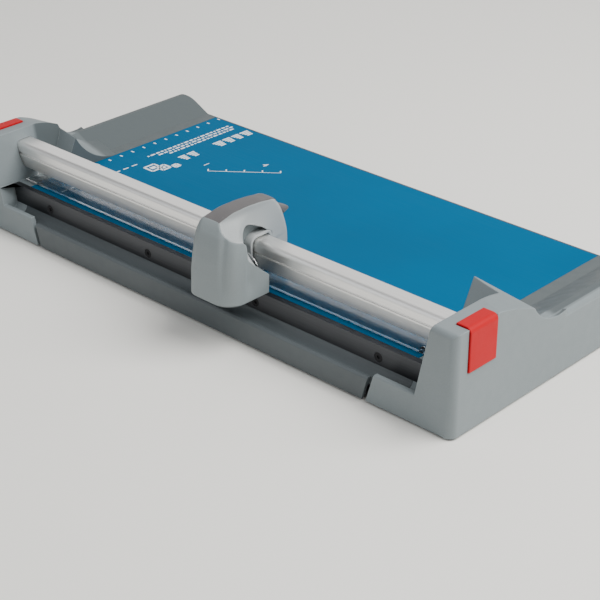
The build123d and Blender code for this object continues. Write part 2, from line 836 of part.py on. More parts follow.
def head_top_inlay():
    """Dark soft band along the top of the head, ending in a thumb lip behind."""
    start, mid, end = crown_arc()
    low_start, low_mid, low_end = crown_arc(inlay_thickness - seam_gap)
    band = outline(
        ThreePointArc(start, mid, end),
        Line(end, (end[0] + 0.6, low_end[1] - 0.6)),
        Line((end[0] + 0.6, low_end[1] - 0.6), low_end),
        ThreePointArc(low_end, low_mid, low_start),
        Line(low_start, start),
    )
    face_x = polygon([
        (bridge_top_left - 0.4, table_height),
        (bridge_top_right + 0.4, table_height),
        (bridge_top_right + 0.4, table_height + crown_height + 2),
        (bridge_top_left - 0.4, table_height + crown_height + 2),
    ])
    strap = along_x(band, -head_left, head_right) & along_y(face_x, head_front, back_y)
    lip_z = table_height + crown_rear - 7.5
    lip_y = end[0] + 4.2
    lip = polygon([
        (end[0] - 0.2, low_end[1]),
        (end[0] + 0.6, low_end[1] - 0.4),
        (lip_y + 0.4, lip_z + 1.2),
        (lip_y + thumb_lip, lip_z + 0.6),
        (lip_y + thumb_lip - 0.6, lip_z - 1.0),
        (lip_y - 0.6, lip_z - 1.6),
    ])
    lip_width = bridge_top_right - bridge_top_left
    tab = along_x(lip, bridge_top_left + 0.5, bridge_top_left + lip_width)
    return Pos(head_rest_x, 0, 0) * (strap + tab - bridge_volume())


def axle_stack():
    """Places along the blade's axle, from the blade towards the front, as a dictionary."""
    hub_front = blade_front - hub_front_length
    bush_front = hub_front - seam_gap - bush_length
    carrier_front = bush_front - seam_gap - carrier_thickness
    washer_front = carrier_front - seam_gap - washer_length
    nut_front = washer_front - seam_gap - nut_length
    return {
        "hub": hub_front,
        "bush": bush_front,
        "carrier": carrier_front,
        "washer": washer_front,
        "nut": nut_front,
    }


def round_blade():
    """Round blade with a bevel on its front side, so the flat side runs on the knife."""
    disc = rod_y(blade_radius, 0, blade_z, blade_front, blade_back)
    front_edge = disc.edges().filter_by(GeomType.CIRCLE).sort_by(Axis.Y)[0]
    disc = chamfer(front_edge, blade_bevel, blade_bevel * 2.6)
    disc -= rod_y(hub_bore_radius + press_gap, 0, blade_z, blade_front - 1, blade_back + 1)
    return Pos(head_rest_x, 0, 0) * disc


def blade_hub():
    """Hub that carries the blade on the axle."""
    place = axle_stack()
    front = rod_y(hub_front_radius, 0, blade_z, place["hub"], blade_front - seam_gap)
    core = rod_y(hub_bore_radius, 0, blade_z, blade_front - 1, blade_back + 0.2)
    rear = rod_y(hub_flange_radius, 0, blade_z, blade_back + seam_gap, blade_back + seam_gap + hub_rear_length)
    bore = rod_y(axle_radius + axle_fit, 0, blade_z, place["hub"] - 1, blade_back + 3)
    return Pos(head_rest_x, 0, 0) * (front + core + rear - bore)


def axle_seat():
    """Y of the axle head's front face, just behind the hub."""
    return blade_back + hub_rear_length + 2 * seam_gap + axle_fit


def blade_axle():
    """Fixed axle: head behind the hub, tail through the carrier and nut."""
    place = axle_stack()
    back = axle_seat()
    head = rod_y(axle_head_radius, 0, blade_z, back, back + axle_head_length)
    shank = rod_y(axle_radius, 0, blade_z, place["nut"] - axle_tail, back)
    return Pos(head_rest_x, 0, 0) * (head + shank)


def blade_bush():
    """Bush between hub and carrier."""
    place = axle_stack()
    outer = rod_y(bush_radius, 0, blade_z, place["bush"], place["bush"] + bush_length - axle_fit)
    bore = rod_y(axle_radius + press_gap, 0, blade_z, place["bush"] - 1, place["bush"] + bush_length + 1)
    return Pos(head_rest_x, 0, 0) * (outer - bore)


def blade_carrier():
    """Steel plate across the front cover that holds the axle."""
    front = axle_stack()["carrier"]
    back = front + carrier_thickness
    low = blade_z - carrier_height / 2
    plate = block(-carrier_half, carrier_half, front, back, low, low + carrier_height)
    plate = fillet(plate.edges().filter_by(Axis.Y), 2.0)
    plate -= rod_y(axle_radius + press_gap, 0, blade_z, front - 1, back + 1)
    for x in (-carrier_screw_x, carrier_screw_x):
        plate -= rod_y(screw_radius + hole_gap, x, blade_z, front - 1, back + 1)
    return Pos(head_rest_x, 0, 0) * plate


def carrier_screws():
    """Two screws that hold the carrier to the front cover."""
    pieces = []
    front = axle_stack()["carrier"]
    back = front + carrier_thickness
    for side in (-1, 1):
        x = head_rest_x + side * carrier_screw_x
        head = rod_y(2.4, x, blade_z, back + seam_gap, back + 1.2)
        shank = rod_y(screw_radius - 0.35, x, blade_z, front - 7, back + seam_gap)
        pieces.append(head + shank)
    return Compound(children=pieces)


def spring_washer():
    """Dished washer that presses the blade against the knife."""
    place = axle_stack()
    y0 = place["washer"]
    y1 = y0 + washer_length
    half = outline(
        Polyline((axle_radius + 0.1, y0 + 0.45), (washer_radius, y1), (washer_radius, y1 - 0.45),
                 (axle_radius + 0.1, y0), (axle_radius + 0.1, y0 + 0.45)),
    )
    ring = revolve(half, Axis.Y)
    return Pos(head_rest_x, 0, blade_z) * ring


def axle_nut():
    """Hexagon nut on the axle's tail."""
    place = axle_stack()
    hexagon = Pos(0, blade_z) * RegularPolygon(nut_radius, 6)
    body = extrude(Plane.XZ.offset(-place["nut"]) * hexagon, -nut_length)
    bore = rod_y(axle_radius + press_gap, 0, blade_z, place["nut"] - 1, place["nut"] + nut_length + 1)
    return Pos(head_rest_x, 0, 0) * (body - bore)


def blade_guard():
    """Capsule in front of the blade that closes the cover's underside to a slot."""
    y0 = head_front + head_wall + 1.6
    y1 = blade_front - 1.0
    base_z = head_floor - 0.9
    foot = block(-head_left + 4.5, head_right - 4.5, y0 + 2.5, y1, base_z, base_z + 1.6)
    foot = fillet(foot.edges().filter_by(Axis.Z).group_by(Axis.Y)[0], 5.0)
    screen = block(-head_left + 4.5, head_right - 4.5, y1 - 1.2, y1, base_z + 1.6, base_z + 2.8)
    return Pos(head_rest_x, 0, 0) * (foot + screen)


def pressure_shoe():
    """Slider under the bridge that presses the clear strip as the head passes."""
    x0 = head_rest_x - head_left + 2.0
    x1 = head_rest_x + bridge_right - 1.5
    top = head_floor + bridge_floor - seam_gap
    return block(x0, x1, strip_y + 3, strip_y + strip_width - 2, strip_z + strip_thickness + 0.1, top)


def head_screws():
    """Two screws that hold the front cover to the bridge, from behind."""
    pieces = []
    seat = cover_screw_seat()
    for x, z in cover_screw_places():
        head = rod_y(cover_screw_head, head_rest_x + x, z, seat, seat + cover_screw_head_length)
        shank = rod_y(cover_screw_radius, head_rest_x + x, z, cover_back - cover_boss + cover_screw_tip, seat)
        pieces.append(head + shank)
    return Compound(children=pieces)


# ---------------------------------------------------------------- all nodes
def build():
    """Write every node."""
    os.makedirs("parts", exist_ok=True)
    clip = rail_clip()
    plug = rail_plug()
    spring = strip_spring()
    nodes = {
        "base_tray": base_tray(),
        "table_plate": table_plate(),
        "plate_studs": plate_studs(),
        "lower_knife": lower_knife(),
        "knife_screws": knife_screws(),
        "rubber_feet": rubber_feet(),
        "end_cap_right": end_cap(),
        "end_cap_left": mirrored(end_cap(hump_left_shift)),
        "cap_screws": cap_screws(),
        "guide_rail": guide_rail(),
        "rail_plug_right": plug,
        "rail_plug_left": mirrored(plug),
        "rail_clip_right": clip,
        "rail_clip_left": mirrored(clip),
        "clamp_strip": clamp_strip(),
        "strip_pins": strip_pins(),
        "strip_spring_right": spring,
        "strip_spring_left": mirrored(spring),
        "head_front_cover": head_front_cover(),
        "head_bridge": head_bridge(),
        "head_top_inlay": head_top_inlay(),
        "rail_collar": rail_collar(),
        "slide_shoes": slide_shoes(),
        "pressure_shoe": pressure_shoe(),
        "round_blade": round_blade(),
        "blade_hub": blade_hub(),
        "blade_axle": blade_axle(),
        "blade_bush": blade_bush(),
        "blade_carrier": blade_carrier(),
        "carrier_screws": carrier_screws(),
        "spring_washer": spring_washer(),
        "axle_nut": axle_nut(),
        "blade_guard": blade_guard(),
        "head_screws": head_screws(),
    }
    for name, shape in nodes.items():
        save(shape, name)


build()
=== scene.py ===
"""Rotary paper trimmer: finishes, printed marks, head mouldings, stage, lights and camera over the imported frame."""

import json
import logging
import math
from dataclasses import dataclass, field
from enum import Enum
from typing import Callable, Iterable, Sequence

import bmesh
import bpy
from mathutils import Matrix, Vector
from mathutils.bvhtree import BVHTree
from mathutils.geometry import interpolate_bezier

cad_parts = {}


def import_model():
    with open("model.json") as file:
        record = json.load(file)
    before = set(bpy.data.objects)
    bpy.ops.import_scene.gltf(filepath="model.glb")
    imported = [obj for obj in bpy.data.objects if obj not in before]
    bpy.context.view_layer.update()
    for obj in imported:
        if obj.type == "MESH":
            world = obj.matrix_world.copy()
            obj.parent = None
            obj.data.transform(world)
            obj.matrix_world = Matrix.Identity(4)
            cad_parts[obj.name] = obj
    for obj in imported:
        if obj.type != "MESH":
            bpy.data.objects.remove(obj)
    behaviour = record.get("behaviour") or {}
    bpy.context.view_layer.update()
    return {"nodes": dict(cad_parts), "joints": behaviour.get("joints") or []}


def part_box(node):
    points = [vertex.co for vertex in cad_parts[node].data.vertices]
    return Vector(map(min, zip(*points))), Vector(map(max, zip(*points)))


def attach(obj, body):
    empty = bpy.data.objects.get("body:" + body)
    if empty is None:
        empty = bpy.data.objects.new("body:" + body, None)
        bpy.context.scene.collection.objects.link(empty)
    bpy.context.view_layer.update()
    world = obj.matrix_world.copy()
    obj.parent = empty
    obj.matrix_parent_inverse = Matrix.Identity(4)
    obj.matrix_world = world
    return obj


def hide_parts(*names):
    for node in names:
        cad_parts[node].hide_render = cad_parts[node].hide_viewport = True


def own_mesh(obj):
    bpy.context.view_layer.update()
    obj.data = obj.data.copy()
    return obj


LOG = logging.getLogger("trimmer")
MM = 0.001

Point = tuple[float, float, float]
Flat = tuple[float, float]
Colour = tuple[float, float, float]


# ---------------------------------------------------------------------------------------------------------------
# Named options
# ---------------------------------------------------------------------------------------------------------------
class Side(Enum):
    """End of the trimmer."""

    LEFT = -1
    RIGHT = 1


class Lay(Enum):
    """Direction that the fine marks of a metal finish run in, as the stretch of its noise on X, Y and Z."""

    ALONG_X = (0.02, 1.0, 1.0)
    ALONG_Y = (1.0, 0.02, 1.0)
    ALONG_Z = (1.0, 1.0, 0.02)
    NONE = (1.0, 1.0, 1.0)


# ---------------------------------------------------------------------------------------------------------------
# Shader graphs
# ---------------------------------------------------------------------------------------------------------------
class Graph:
    """A new material with its principled shader, and short calls that add nodes to it."""

    def __init__(self, name: str) -> None:
        """Make the material.

        Args:
            name: name of the finish.
        """
        self.material = bpy.data.materials.new(name)
        self.material.use_nodes = True
        self.tree = self.material.node_tree
        self.shader = self.tree.nodes["Principled BSDF"]
        places = self.tree.nodes.new("ShaderNodeTexCoord")
        self.coords = places.outputs["Object"]
        self.facing = places.outputs["Normal"]

    def add(self, kind: str, **settings: object) -> bpy.types.ShaderNode:
        """Add a node.

        Args:
            kind: node type.
            settings: node properties by name.

        Returns:
            The node.
        """
        node = self.tree.nodes.new(kind)
        for key, value in settings.items():
            setattr(node, key, value)
        return node

    def link(self, source: bpy.types.NodeSocket, target: bpy.types.NodeSocket) -> None:
        """Join two sockets."""
        self.tree.links.new(source, target)

    def stretched(self, stretch: Sequence[float]) -> bpy.types.NodeSocket:
        """Object coordinates scaled on each axis.

        Args:
            stretch: factor on X, Y and Z.

        Returns:
            The scaled vector.
        """
        mapping = self.add("ShaderNodeMapping")
        mapping.inputs["Scale"].default_value = tuple(stretch)
        self.link(self.coords, mapping.inputs["Vector"])
        return mapping.outputs["Vector"]

    def noise(self, scale: float, detail: float = 3.0, vector: bpy.types.NodeSocket | None = None) -> bpy.types.NodeSocket:
        """Noise from 0 to 1.

        Args:
            scale: waves per metre.
            detail: finer waves on top.
            vector: coordinates, or the object's own.

        Returns:
            The noise value.
        """
        node = self.add("ShaderNodeTexNoise")
        node.inputs["Scale"].default_value = scale
        node.inputs["Detail"].default_value = detail
        self.link(vector or self.coords, node.inputs["Vector"])
        return node.outputs["Fac"]

    def ranged(self, value: bpy.types.NodeSocket, low: float, high: float, start: float = 0.3, end: float = 0.7) -> bpy.types.NodeSocket:
        """Spread a value between two others.

        Args:
            value: the value.
            low: result at start.
            high: result at end.
            start: value that gives low.
            end: value that gives high.

        Returns:
            The spread value.
        """
        node = self.add("ShaderNodeMapRange")
        for name, number in (("From Min", start), ("From Max", end), ("To Min", low), ("To Max", high)):
            node.inputs[name].default_value = number
        self.link(value, node.inputs["Value"])
        return node.outputs["Result"]

    def mixed(self, factor: bpy.types.NodeSocket, first: object, second: object) -> bpy.types.NodeSocket:
        """Blend two colours.

        Args:
            factor: 0 gives the first, 1 the second.
            first: colour or socket.
            second: colour or socket.

        Returns:
            The blended colour.
        """
        node = self.add("ShaderNodeMix", data_type="RGBA")
        self.link(factor, node.inputs["Factor"])
        for socket, colour in ((node.inputs["A"], first), (node.inputs["B"], second)):
            if isinstance(colour, bpy.types.NodeSocket):
                self.link(colour, socket)
            else:
                socket.default_value = (*colour, 1.0)
        return node.outputs["Result"]

    def times(self, first: bpy.types.NodeSocket, second: bpy.types.NodeSocket) -> bpy.types.NodeSocket:
        """Product of two values.

        Args:
            first: one value.
            second: the other.

        Returns:
            The product.
        """
        node = self.add("ShaderNodeMath", operation="MULTIPLY")
        self.link(first, node.inputs[0])
        self.link(second, node.inputs[1])
        return node.outputs["Value"]

    def edge(self, radius: float) -> tuple[bpy.types.NodeSocket, bpy.types.NodeSocket]:
        """Softened edge normal, and a mask that is 1 on sharp edges.

        Args:
            radius: width of the softened edge in metres.

        Returns:
            The normal and the mask.
        """
        bevel = self.add("ShaderNodeBevel", samples=4)
        bevel.inputs["Radius"].default_value = radius
        geometry = self.add("ShaderNodeNewGeometry")
        dot = self.add("ShaderNodeVectorMath", operation="DOT_PRODUCT")
        self.link(bevel.outputs["Normal"], dot.inputs[0])
        self.link(geometry.outputs["Normal"], dot.inputs[1])
        return bevel.outputs["Normal"], self.ranged(dot.outputs["Value"], 1.0, 0.0, 0.88, 0.995)

    def bump(self, height: bpy.types.NodeSocket, distance: float, strength: float, normal: bpy.types.NodeSocket | None = None) -> bpy.types.NodeSocket:
        """Raise the surface by a height.

        Args:
            height: height from 0 to 1.
            distance: metres for a height of 1.
            strength: share of the effect.
            normal: normal to start from.

        Returns:
            The new normal.
        """
        node = self.add("ShaderNodeBump")
        node.inputs["Distance"].default_value = distance
        node.inputs["Strength"].default_value = strength
        self.link(height, node.inputs["Height"])
        if normal is not None:
            self.link(normal, node.inputs["Normal"])
        return node.outputs["Normal"]

    def plug(self, name: str, value: object) -> None:
        """Feed one of the shader's sockets with a socket or a fixed value."""
        socket = self.shader.inputs[name]
        if isinstance(value, bpy.types.NodeSocket):
            self.link(value, socket)
        else:
            socket.default_value = value


def shade(colour: Colour, factor: float) -> Colour:
    """The colour made lighter or darker."""
    return tuple(min(1.0, channel * factor) for channel in colour)


# ---------------------------------------------------------------------------------------------------------------
# Finishes
# ---------------------------------------------------------------------------------------------------------------
@dataclass(frozen=True)
class Moulding:
    """Spark-eroded moulded plastic with paler edges where hands and paper rub it."""

    name: str
    colour: Colour
    roughness: float = 0.5
    grain: float = 1400.0
    grain_depth: float = 0.00005
    wear: float = 1.25
    edge_radius: float = 0.0007
    specular: float = 0.45

    def material(self) -> bpy.types.Material:
        """Build the material.

        Returns:
            The new material.
        """
        graph = Graph(self.name)
        normal, mask = graph.edge(self.edge_radius)
        cloud = graph.noise(14.0, 4.0)
        fine = graph.noise(self.grain, 2.0)
        rubbed = graph.noise(160.0, 3.0)
        body = graph.mixed(graph.ranged(cloud, 0.0, 1.0), shade(self.colour, 0.95), shade(self.colour, 1.05))
        speck = graph.mixed(graph.ranged(fine, 0.0, 0.35), body, shade(self.colour, 0.86))
        worn = graph.add("ShaderNodeMath", operation="MULTIPLY")
        graph.link(mask, worn.inputs[0])
        graph.link(graph.ranged(rubbed, 0.25, 0.8, 0.35, 0.65), worn.inputs[1])
        colour = graph.mixed(worn.outputs["Value"], speck, shade(self.colour, self.wear))
        graph.plug("Base Color", self.add_painted_shade(graph, colour))
        graph.plug("Roughness", graph.ranged(rubbed, self.roughness - 0.06, self.roughness + 0.06))
        graph.plug("Specular IOR Level", self.specular)
        graph.plug("Normal", graph.bump(fine, self.grain_depth, 0.55, normal))
        return graph.material

    def add_painted_shade(self, graph: Graph, colour: bpy.types.NodeSocket) -> bpy.types.NodeSocket:
        """The colour as it is; a moulding with painted shade darkens some of its faces here."""
        return colour


@dataclass(frozen=True)
class PaintedShadeCapMoulding(Moulding):
    """End cap plastic with painted shade: its paper guide's top and the inner slope that faces the table are painted a
    darker grey than the rest.
    """

    # Colour of the painted shade on the guide and the slope.
    dark: Colour = (0.075, 0.092, 0.097)
    side: Side = Side.RIGHT
    guide_start: float = 0.004
    slope_start: float = -0.047

    def add_painted_shade(self, graph: Graph, colour: bpy.types.NodeSocket) -> bpy.types.NodeSocket:
        """Paint shade on the guide's top and the slope that faces the table.

        Args:
            graph: the finish's graph.
            colour: the colour before the painted shade.

        Returns:
            The colour with the painted shade.
        """
        place = graph.add("ShaderNodeSeparateXYZ")
        graph.link(graph.coords, place.inputs["Vector"])
        facing = graph.add("ShaderNodeSeparateXYZ")
        graph.link(graph.facing, facing.inputs["Vector"])
        along, lean = place.outputs["Y"], facing.outputs["X"]
        out = float(self.side.value)
        # Painted shade: faces behind the guide's start that turn away from the outside, and slope faces that turn
        # toward the table, are mixed toward the darker grey.
        guide_shade_mask = graph.times(
            graph.ranged(along, 0.0, 1.0, self.guide_start, self.guide_start + 0.005),
            graph.ranged(lean, 1.0, 0.0, 0.35 * out, 0.75 * out) if out > 0 else graph.ranged(lean, 0.0, 1.0, -0.75, -0.35),
        )
        inward = graph.ranged(lean, 1.0, 0.0, -0.55, -0.20) if out > 0 else graph.ranged(lean, 0.0, 1.0, 0.20, 0.55)
        slope_shade_mask = graph.times(graph.ranged(along, 0.0, 1.0, self.slope_start, self.slope_start + 0.003), inward)
        painted_shade_mask = graph.add("ShaderNodeMath", operation="MAXIMUM")
        graph.link(guide_shade_mask, painted_shade_mask.inputs[0])
        graph.link(slope_shade_mask, painted_shade_mask.inputs[1])
        return graph.mixed(painted_shade_mask.outputs["Value"], colour, self.dark)


@dataclass(frozen=True)
class Metal:
    """Bare metal with fine marks in one direction."""

    name: str
    colour: Colour
    roughness: float = 0.3
    lay: Lay = Lay.ALONG_X
    line: float = 2600.0
    depth: float = 0.00002
    contrast: float = 0.08

    def material(self) -> bpy.types.Material:
        """Build the material.

        Returns:
            The new material.
        """
        graph = Graph(self.name)
        normal, mask = graph.edge(0.00035)
        lines = graph.noise(self.line, 4.0, graph.stretched(self.lay.value))
        broad = graph.noise(40.0, 3.0, graph.stretched(tuple(max(0.1, share) for share in self.lay.value)))
        tone = graph.mixed(graph.ranged(lines, 0.0, 1.0), shade(self.colour, 1 - self.contrast), shade(self.colour, 1 + self.contrast))
        graph.plug("Base Color", graph.mixed(mask, tone, shade(self.colour, 1.12)))
        graph.plug("Metallic", 1.0)
        graph.plug("Roughness", graph.ranged(broad, self.roughness - 0.05, self.roughness + 0.07))
        graph.plug("Normal", graph.bump(lines, self.depth, 0.5, normal))
        return graph.material


@dataclass(frozen=True)
class Paint:
    """Satin paint on sheet steel, with faint rub marks from sheets of paper."""

    name: str
    colour: Colour
    roughness: float = 0.38
    specular: float = 0.02
    rub: Lay = Lay.ALONG_X

    def material(self) -> bpy.types.Material:
        """Build the material.

        Returns:
            The new material.
        """
        graph = Graph(self.name)
        normal, mask = graph.edge(0.0004)
        cloud = graph.noise(9.0, 3.0)
        peel = graph.noise(700.0, 2.0)
        rubs = graph.noise(900.0, 5.0, graph.stretched(self.rub.value))
        tone = graph.mixed(graph.ranged(cloud, 0.0, 1.0), shade(self.colour, 0.93), shade(self.colour, 1.07))
        faint = graph.mixed(graph.ranged(rubs, 0.0, 0.18, 0.62, 0.78), tone, shade(self.colour, 1.5))
        graph.plug("Base Color", graph.mixed(mask, faint, shade(self.colour, 1.3)))
        graph.plug("Roughness", graph.ranged(rubs, self.roughness - 0.05, self.roughness + 0.08))
        graph.plug("Specular IOR Level", self.specular)
        graph.plug("Normal", graph.bump(peel, 0.00002, 0.35, normal))
        return graph.material


@dataclass(frozen=True)
class Clear:
    """Clear plastic strip with fine drag marks along it."""

    name: str
    colour: Colour = (0.93, 0.95, 0.96)
    roughness: float = 0.12

    def material(self) -> bpy.types.Material:
        """Build the material.

        Returns:
            The new material.
        """
        graph = Graph(self.name)
        drag = graph.noise(1800.0, 4.0, graph.stretched(Lay.ALONG_X.value))
        cloud = graph.noise(30.0, 2.0)
        graph.plug("Base Color", graph.mixed(graph.ranged(cloud, 0.0, 1.0), self.colour, shade(self.colour, 0.96)))
        graph.plug("Roughness", graph.ranged(drag, self.roughness, self.roughness + 0.15, 0.45, 0.8))
        graph.plug("Transmission Weight", 1.0)
        graph.plug("IOR", 1.46)
        graph.plug("Normal", graph.bump(drag, 0.00001, 0.3))
        return graph.material


@dataclass(frozen=True)
class Soft:
    """Rubber or soft-touch plastic: matt, with a fine grain and a little dust."""

    name: str
    colour: Colour
    roughness: float = 0.75
    dust: float = 1.6

    def material(self) -> bpy.types.Material:
        """Build the material.

        Returns:
            The new material.
        """
        graph = Graph(self.name)
        normal, mask = graph.edge(0.0005)
        fine = graph.noise(1100.0, 3.0)
        cloud = graph.noise(60.0, 4.0)
        tone = graph.mixed(graph.ranged(cloud, 0.0, 0.6, 0.45, 0.8), self.colour, shade(self.colour, self.dust))
        graph.plug("Base Color", graph.mixed(mask, tone, shade(self.colour, 1.5)))
        graph.plug("Roughness", graph.ranged(fine, self.roughness - 0.08, self.roughness + 0.08))
        graph.plug("Sheen Weight", 0.15)
        graph.plug("Normal", graph.bump(fine, 0.00006, 0.6, normal))
        return graph.material


@dataclass(frozen=True)
class Ink:
    """Screen-printed white marks, a little uneven."""

    name: str
    colour: Colour = (0.80, 0.86, 0.90)

    def material(self) -> bpy.types.Material:
        """Build the material.

        Returns:
            The new material.
        """
        graph = Graph(self.name)
        patch = graph.noise(1500.0, 4.0)
        graph.plug("Base Color", graph.mixed(graph.ranged(patch, 0.0, 0.5, 0.5, 0.75), self.colour, (0.25, 0.45, 0.58)))
        graph.plug("Roughness", graph.ranged(patch, 0.45, 0.6))
        return graph.material


@dataclass(frozen=True)
class Desk:
    """Plain pale desk top under the trimmer."""

    name: str
    colour: Colour = (0.87, 0.86, 0.82)

    def material(self) -> bpy.types.Material:
        """Build the material.

        Returns:
            The new material.
        """
        graph = Graph(self.name)
        cloud = graph.noise(3.0, 3.0)
        graph.plug("Base Color", graph.mixed(graph.ranged(cloud, 0.0, 1.0), self.colour, shade(self.colour, 0.985)))
        graph.plug("Roughness", graph.ranged(cloud, 0.62, 0.7))
        return graph.material


@dataclass
class Palette:
    """Every finish of the trimmer, made once."""

    grey: Moulding = Moulding("grey_moulding_finish", (0.215, 0.248, 0.257))
    # The end caps' finishes carry painted shade on the guide and the slope that face the table.
    cap_right: PaintedShadeCapMoulding = PaintedShadeCapMoulding("right_cap_painted_shade_finish", (0.195, 0.228, 0.240), wear=1.6, edge_radius=0.0010)
    cap_left: PaintedShadeCapMoulding = PaintedShadeCapMoulding("left_cap_painted_shade_finish", (0.195, 0.228, 0.240), wear=1.6, edge_radius=0.0010, side=Side.LEFT, guide_start=-0.006)
    dark_grey: Moulding = Moulding("tray_moulding_finish", (0.080, 0.095, 0.102), roughness=0.48)
    light: Moulding = Moulding("light_moulding_finish", (0.37, 0.395, 0.40), roughness=0.42)
    acetal: Moulding = Moulding("acetal_finish", (0.80, 0.80, 0.76), roughness=0.35, grain_depth=0.00001)
    black: Moulding = Moulding("black_moulding_finish", (0.035, 0.036, 0.038), wear=1.8)
    red: Moulding = Moulding("red_clip_finish", (0.46, 0.006, 0.012), roughness=0.48, grain_depth=0.00002, wear=1.2, specular=0.12)
    inlay: Soft = Soft("dark_inlay_finish", (0.085, 0.080, 0.082))
    rubber: Soft = Soft("foot_rubber_finish", (0.03, 0.03, 0.03), roughness=0.85)
    rail: Metal = Metal("satin_rail_finish", (0.88, 0.875, 0.86), roughness=0.42, contrast=0.05)
    # The lower knife is given a near-black steel colour all over.
    knife: Metal = Metal("dark_knife_finish", (0.075, 0.078, 0.085), roughness=0.40, line=2600.0)
    ground: Metal = Metal("ground_steel_finish", (0.70, 0.71, 0.72), roughness=0.24, line=3200.0)
    zinc: Metal = Metal("zinc_steel_finish", (0.66, 0.67, 0.66), roughness=0.36, lay=Lay.NONE, line=900.0)
    spring: Metal = Metal("spring_steel_finish", (0.55, 0.55, 0.56), roughness=0.30, lay=Lay.ALONG_Z)
    black_steel: Paint = Paint("black_steel_finish", (0.03, 0.03, 0.032))
    table: Paint = Paint("blue_table_finish", (0.0008, 0.098, 0.215), roughness=0.5)
    clear: Clear = Clear("clear_strip_finish")
    ink: Ink = Ink("white_print_finish")
    desk: Desk = Desk("desk_finish")
    made: dict[str, bpy.types.Material] = field(default_factory=dict)

    def of(self, finish: object) -> bpy.types.Material:
        """The material of a finish, built at its first use.

        Args:
            finish: one of this palette's finishes.

        Returns:
            Its material.
        """
        if finish.name not in self.made:
            self.made[finish.name] = finish.material()
        return self.made[finish.name]


# ---------------------------------------------------------------------------------------------------------------
# Mesh helpers
# ---------------------------------------------------------------------------------------------------------------
def dress(piece: bpy.types.Object, material: bpy.types.Material) -> None:
    """Give every slot of a piece one material."""
    if not piece.material_slots:
        piece.data.materials.append(material)
    for slot in piece.material_slots:
        slot.material = material


def soften(piece: bpy.types.Object, width: float, segments: int = 2, angle: float = 40.0) -> None:
    """Round a piece's sharp edges with modifiers.

    Args:
        piece: the piece, which may come from the frame.
        width: width of the rounding in millimetres.
        segments: steps across it.
        angle: edges sharper than this many degrees are rounded.
    """
    weld = piece.modifiers.new("weld", "WELD")
    weld.merge_threshold = 0.00001
    flat = piece.modifiers.new("flat", "DECIMATE")
    flat.decimate_type = "DISSOLVE"
    flat.angle_limit = math.radians(0.6)
    bevel = piece.modifiers.new("round", "BEVEL")
    bevel.width = width * MM
    bevel.segments = segments
    bevel.limit_method = "ANGLE"
    bevel.angle_limit = math.radians(angle)
    bevel.use_clamp_overlap = True
    bevel.harden_normals = True


def new_piece(name: str, mesh: bmesh.types.BMesh, smooth: bool = True, outward_from: Point | None = None) -> bpy.types.Object:
    """Turn a bmesh into a piece of the scene.

    Args:
        name: the piece's name.
        mesh: the mesh, which is freed.
        smooth: whether faces are shaded smooth.
        outward_from: a place in millimetres that an open surface faces away from.

    Returns:
        The new object.
    """
    bmesh.ops.recalc_face_normals(mesh, faces=mesh.faces)
    if outward_from is not None:
        middle = Vector(outward_from) * MM
        if sum((face.calc_center_median() - middle).dot(face.normal) * face.calc_area() for face in mesh.faces) < 0:
            bmesh.ops.reverse_faces(mesh, faces=mesh.faces)
    data = bpy.data.meshes.new(name)
    mesh.to_mesh(data)
    mesh.free()
    for face in data.polygons:
        face.use_smooth = smooth
    piece = bpy.data.objects.new(name, data)
    bpy.context.scene.collection.objects.link(piece)
    return piece


def applied(piece: bpy.types.Object) -> bpy.types.Object:
    """Make a piece's modifiers part of its mesh.

    Args:
        piece: the piece.

    Returns:
        The same piece.
    """
    bpy.context.view_layer.update()
    graph = bpy.context.evaluated_depsgraph_get()
    data = bpy.data.meshes.new_from_object(piece.evaluated_get(graph))
    piece.modifiers.clear()
    piece.data = data
    return piece


def add_grid(mesh: bmesh.types.BMesh, rows: Sequence[Sequence[Point]], wrap: bool = False) -> list[list[bmesh.types.BMVert]]:
    """Add a surface through rows of points in millimetres.

    Args:
        mesh: the mesh to add to.
        rows: rows of points, each as long as the first.
        wrap: whether the last point of a row joins its first.

    Returns:
        The new vertices, row by row.
    """
    verts = [[mesh.verts.new(Vector(point) * MM) for point in row] for row in rows]
    count = len(rows[0])
    for upper, lower in zip(verts, verts[1:]):
        for index in range(count if wrap else count - 1):
            after = (index + 1) % count
            mesh.faces.new((upper[index], upper[after], lower[after], lower[index]))
    return verts


def add_prism(mesh: bmesh.types.BMesh, outline: Sequence[Flat], place: Callable[[float, float, float], Point], start: float, end: float) -> None:
    """Add a closed prism over an outline.

    Args:
        mesh: the mesh to add to.
        outline: closed outline in its own plane, in millimetres.
        place: turns an outline point and a depth into a place.
        start: first depth.
        end: last depth.
    """
    rows = [[place(a, b, depth) for a, b in outline] for depth in (start, end)]
    verts = add_grid(mesh, rows, wrap=True)
    mesh.faces.new(verts[0])
    mesh.faces.new(list(reversed(verts[1])))


def interpolate(table: Sequence[Flat], value: float) -> float:
    """Read a table of (input, output) pairs with smooth steps between them.

    Args:
        Read a table of (input, output) pairs with straight steps between them.
        value: the input.

    Returns:
        The output.
    """
    if value <= table[0][0]:
        return table[0][1]
    for (a, low), (b, high) in zip(table, table[1:]):
        if value <= b:
            share = (value - a) / (b - a)
            return low + (high - low) * share
    return table[-1][1]


def smooth_path(points: Sequence[Sequence[float]], steps: int) -> list[tuple[float, ...]]:
    """A rounded path through points, sampled evenly between each pair.

    Args:
        points: the points.
        steps: samples for each pair.

    Returns:
        The sampled path, ends included.
    """
    path: list[tuple[float, ...]] = []
    last = len(points) - 1
    for index in range(last):
        before, here = points[max(index - 1, 0)], points[index]
        there, after = points[index + 1], points[min(index + 2, last)]
        for step in range(steps):
            t = step / steps
            path.append(tuple(
                0.5 * (2 * b + (c - a) * t + (2 * a - 5 * b + 4 * c - d) * t * t + (3 * b - a - 3 * c + d) * t ** 3)
                for a, b, c, d in zip(before, here, there, after)
            ))
    path.append(tuple(points[-1]))
    return path


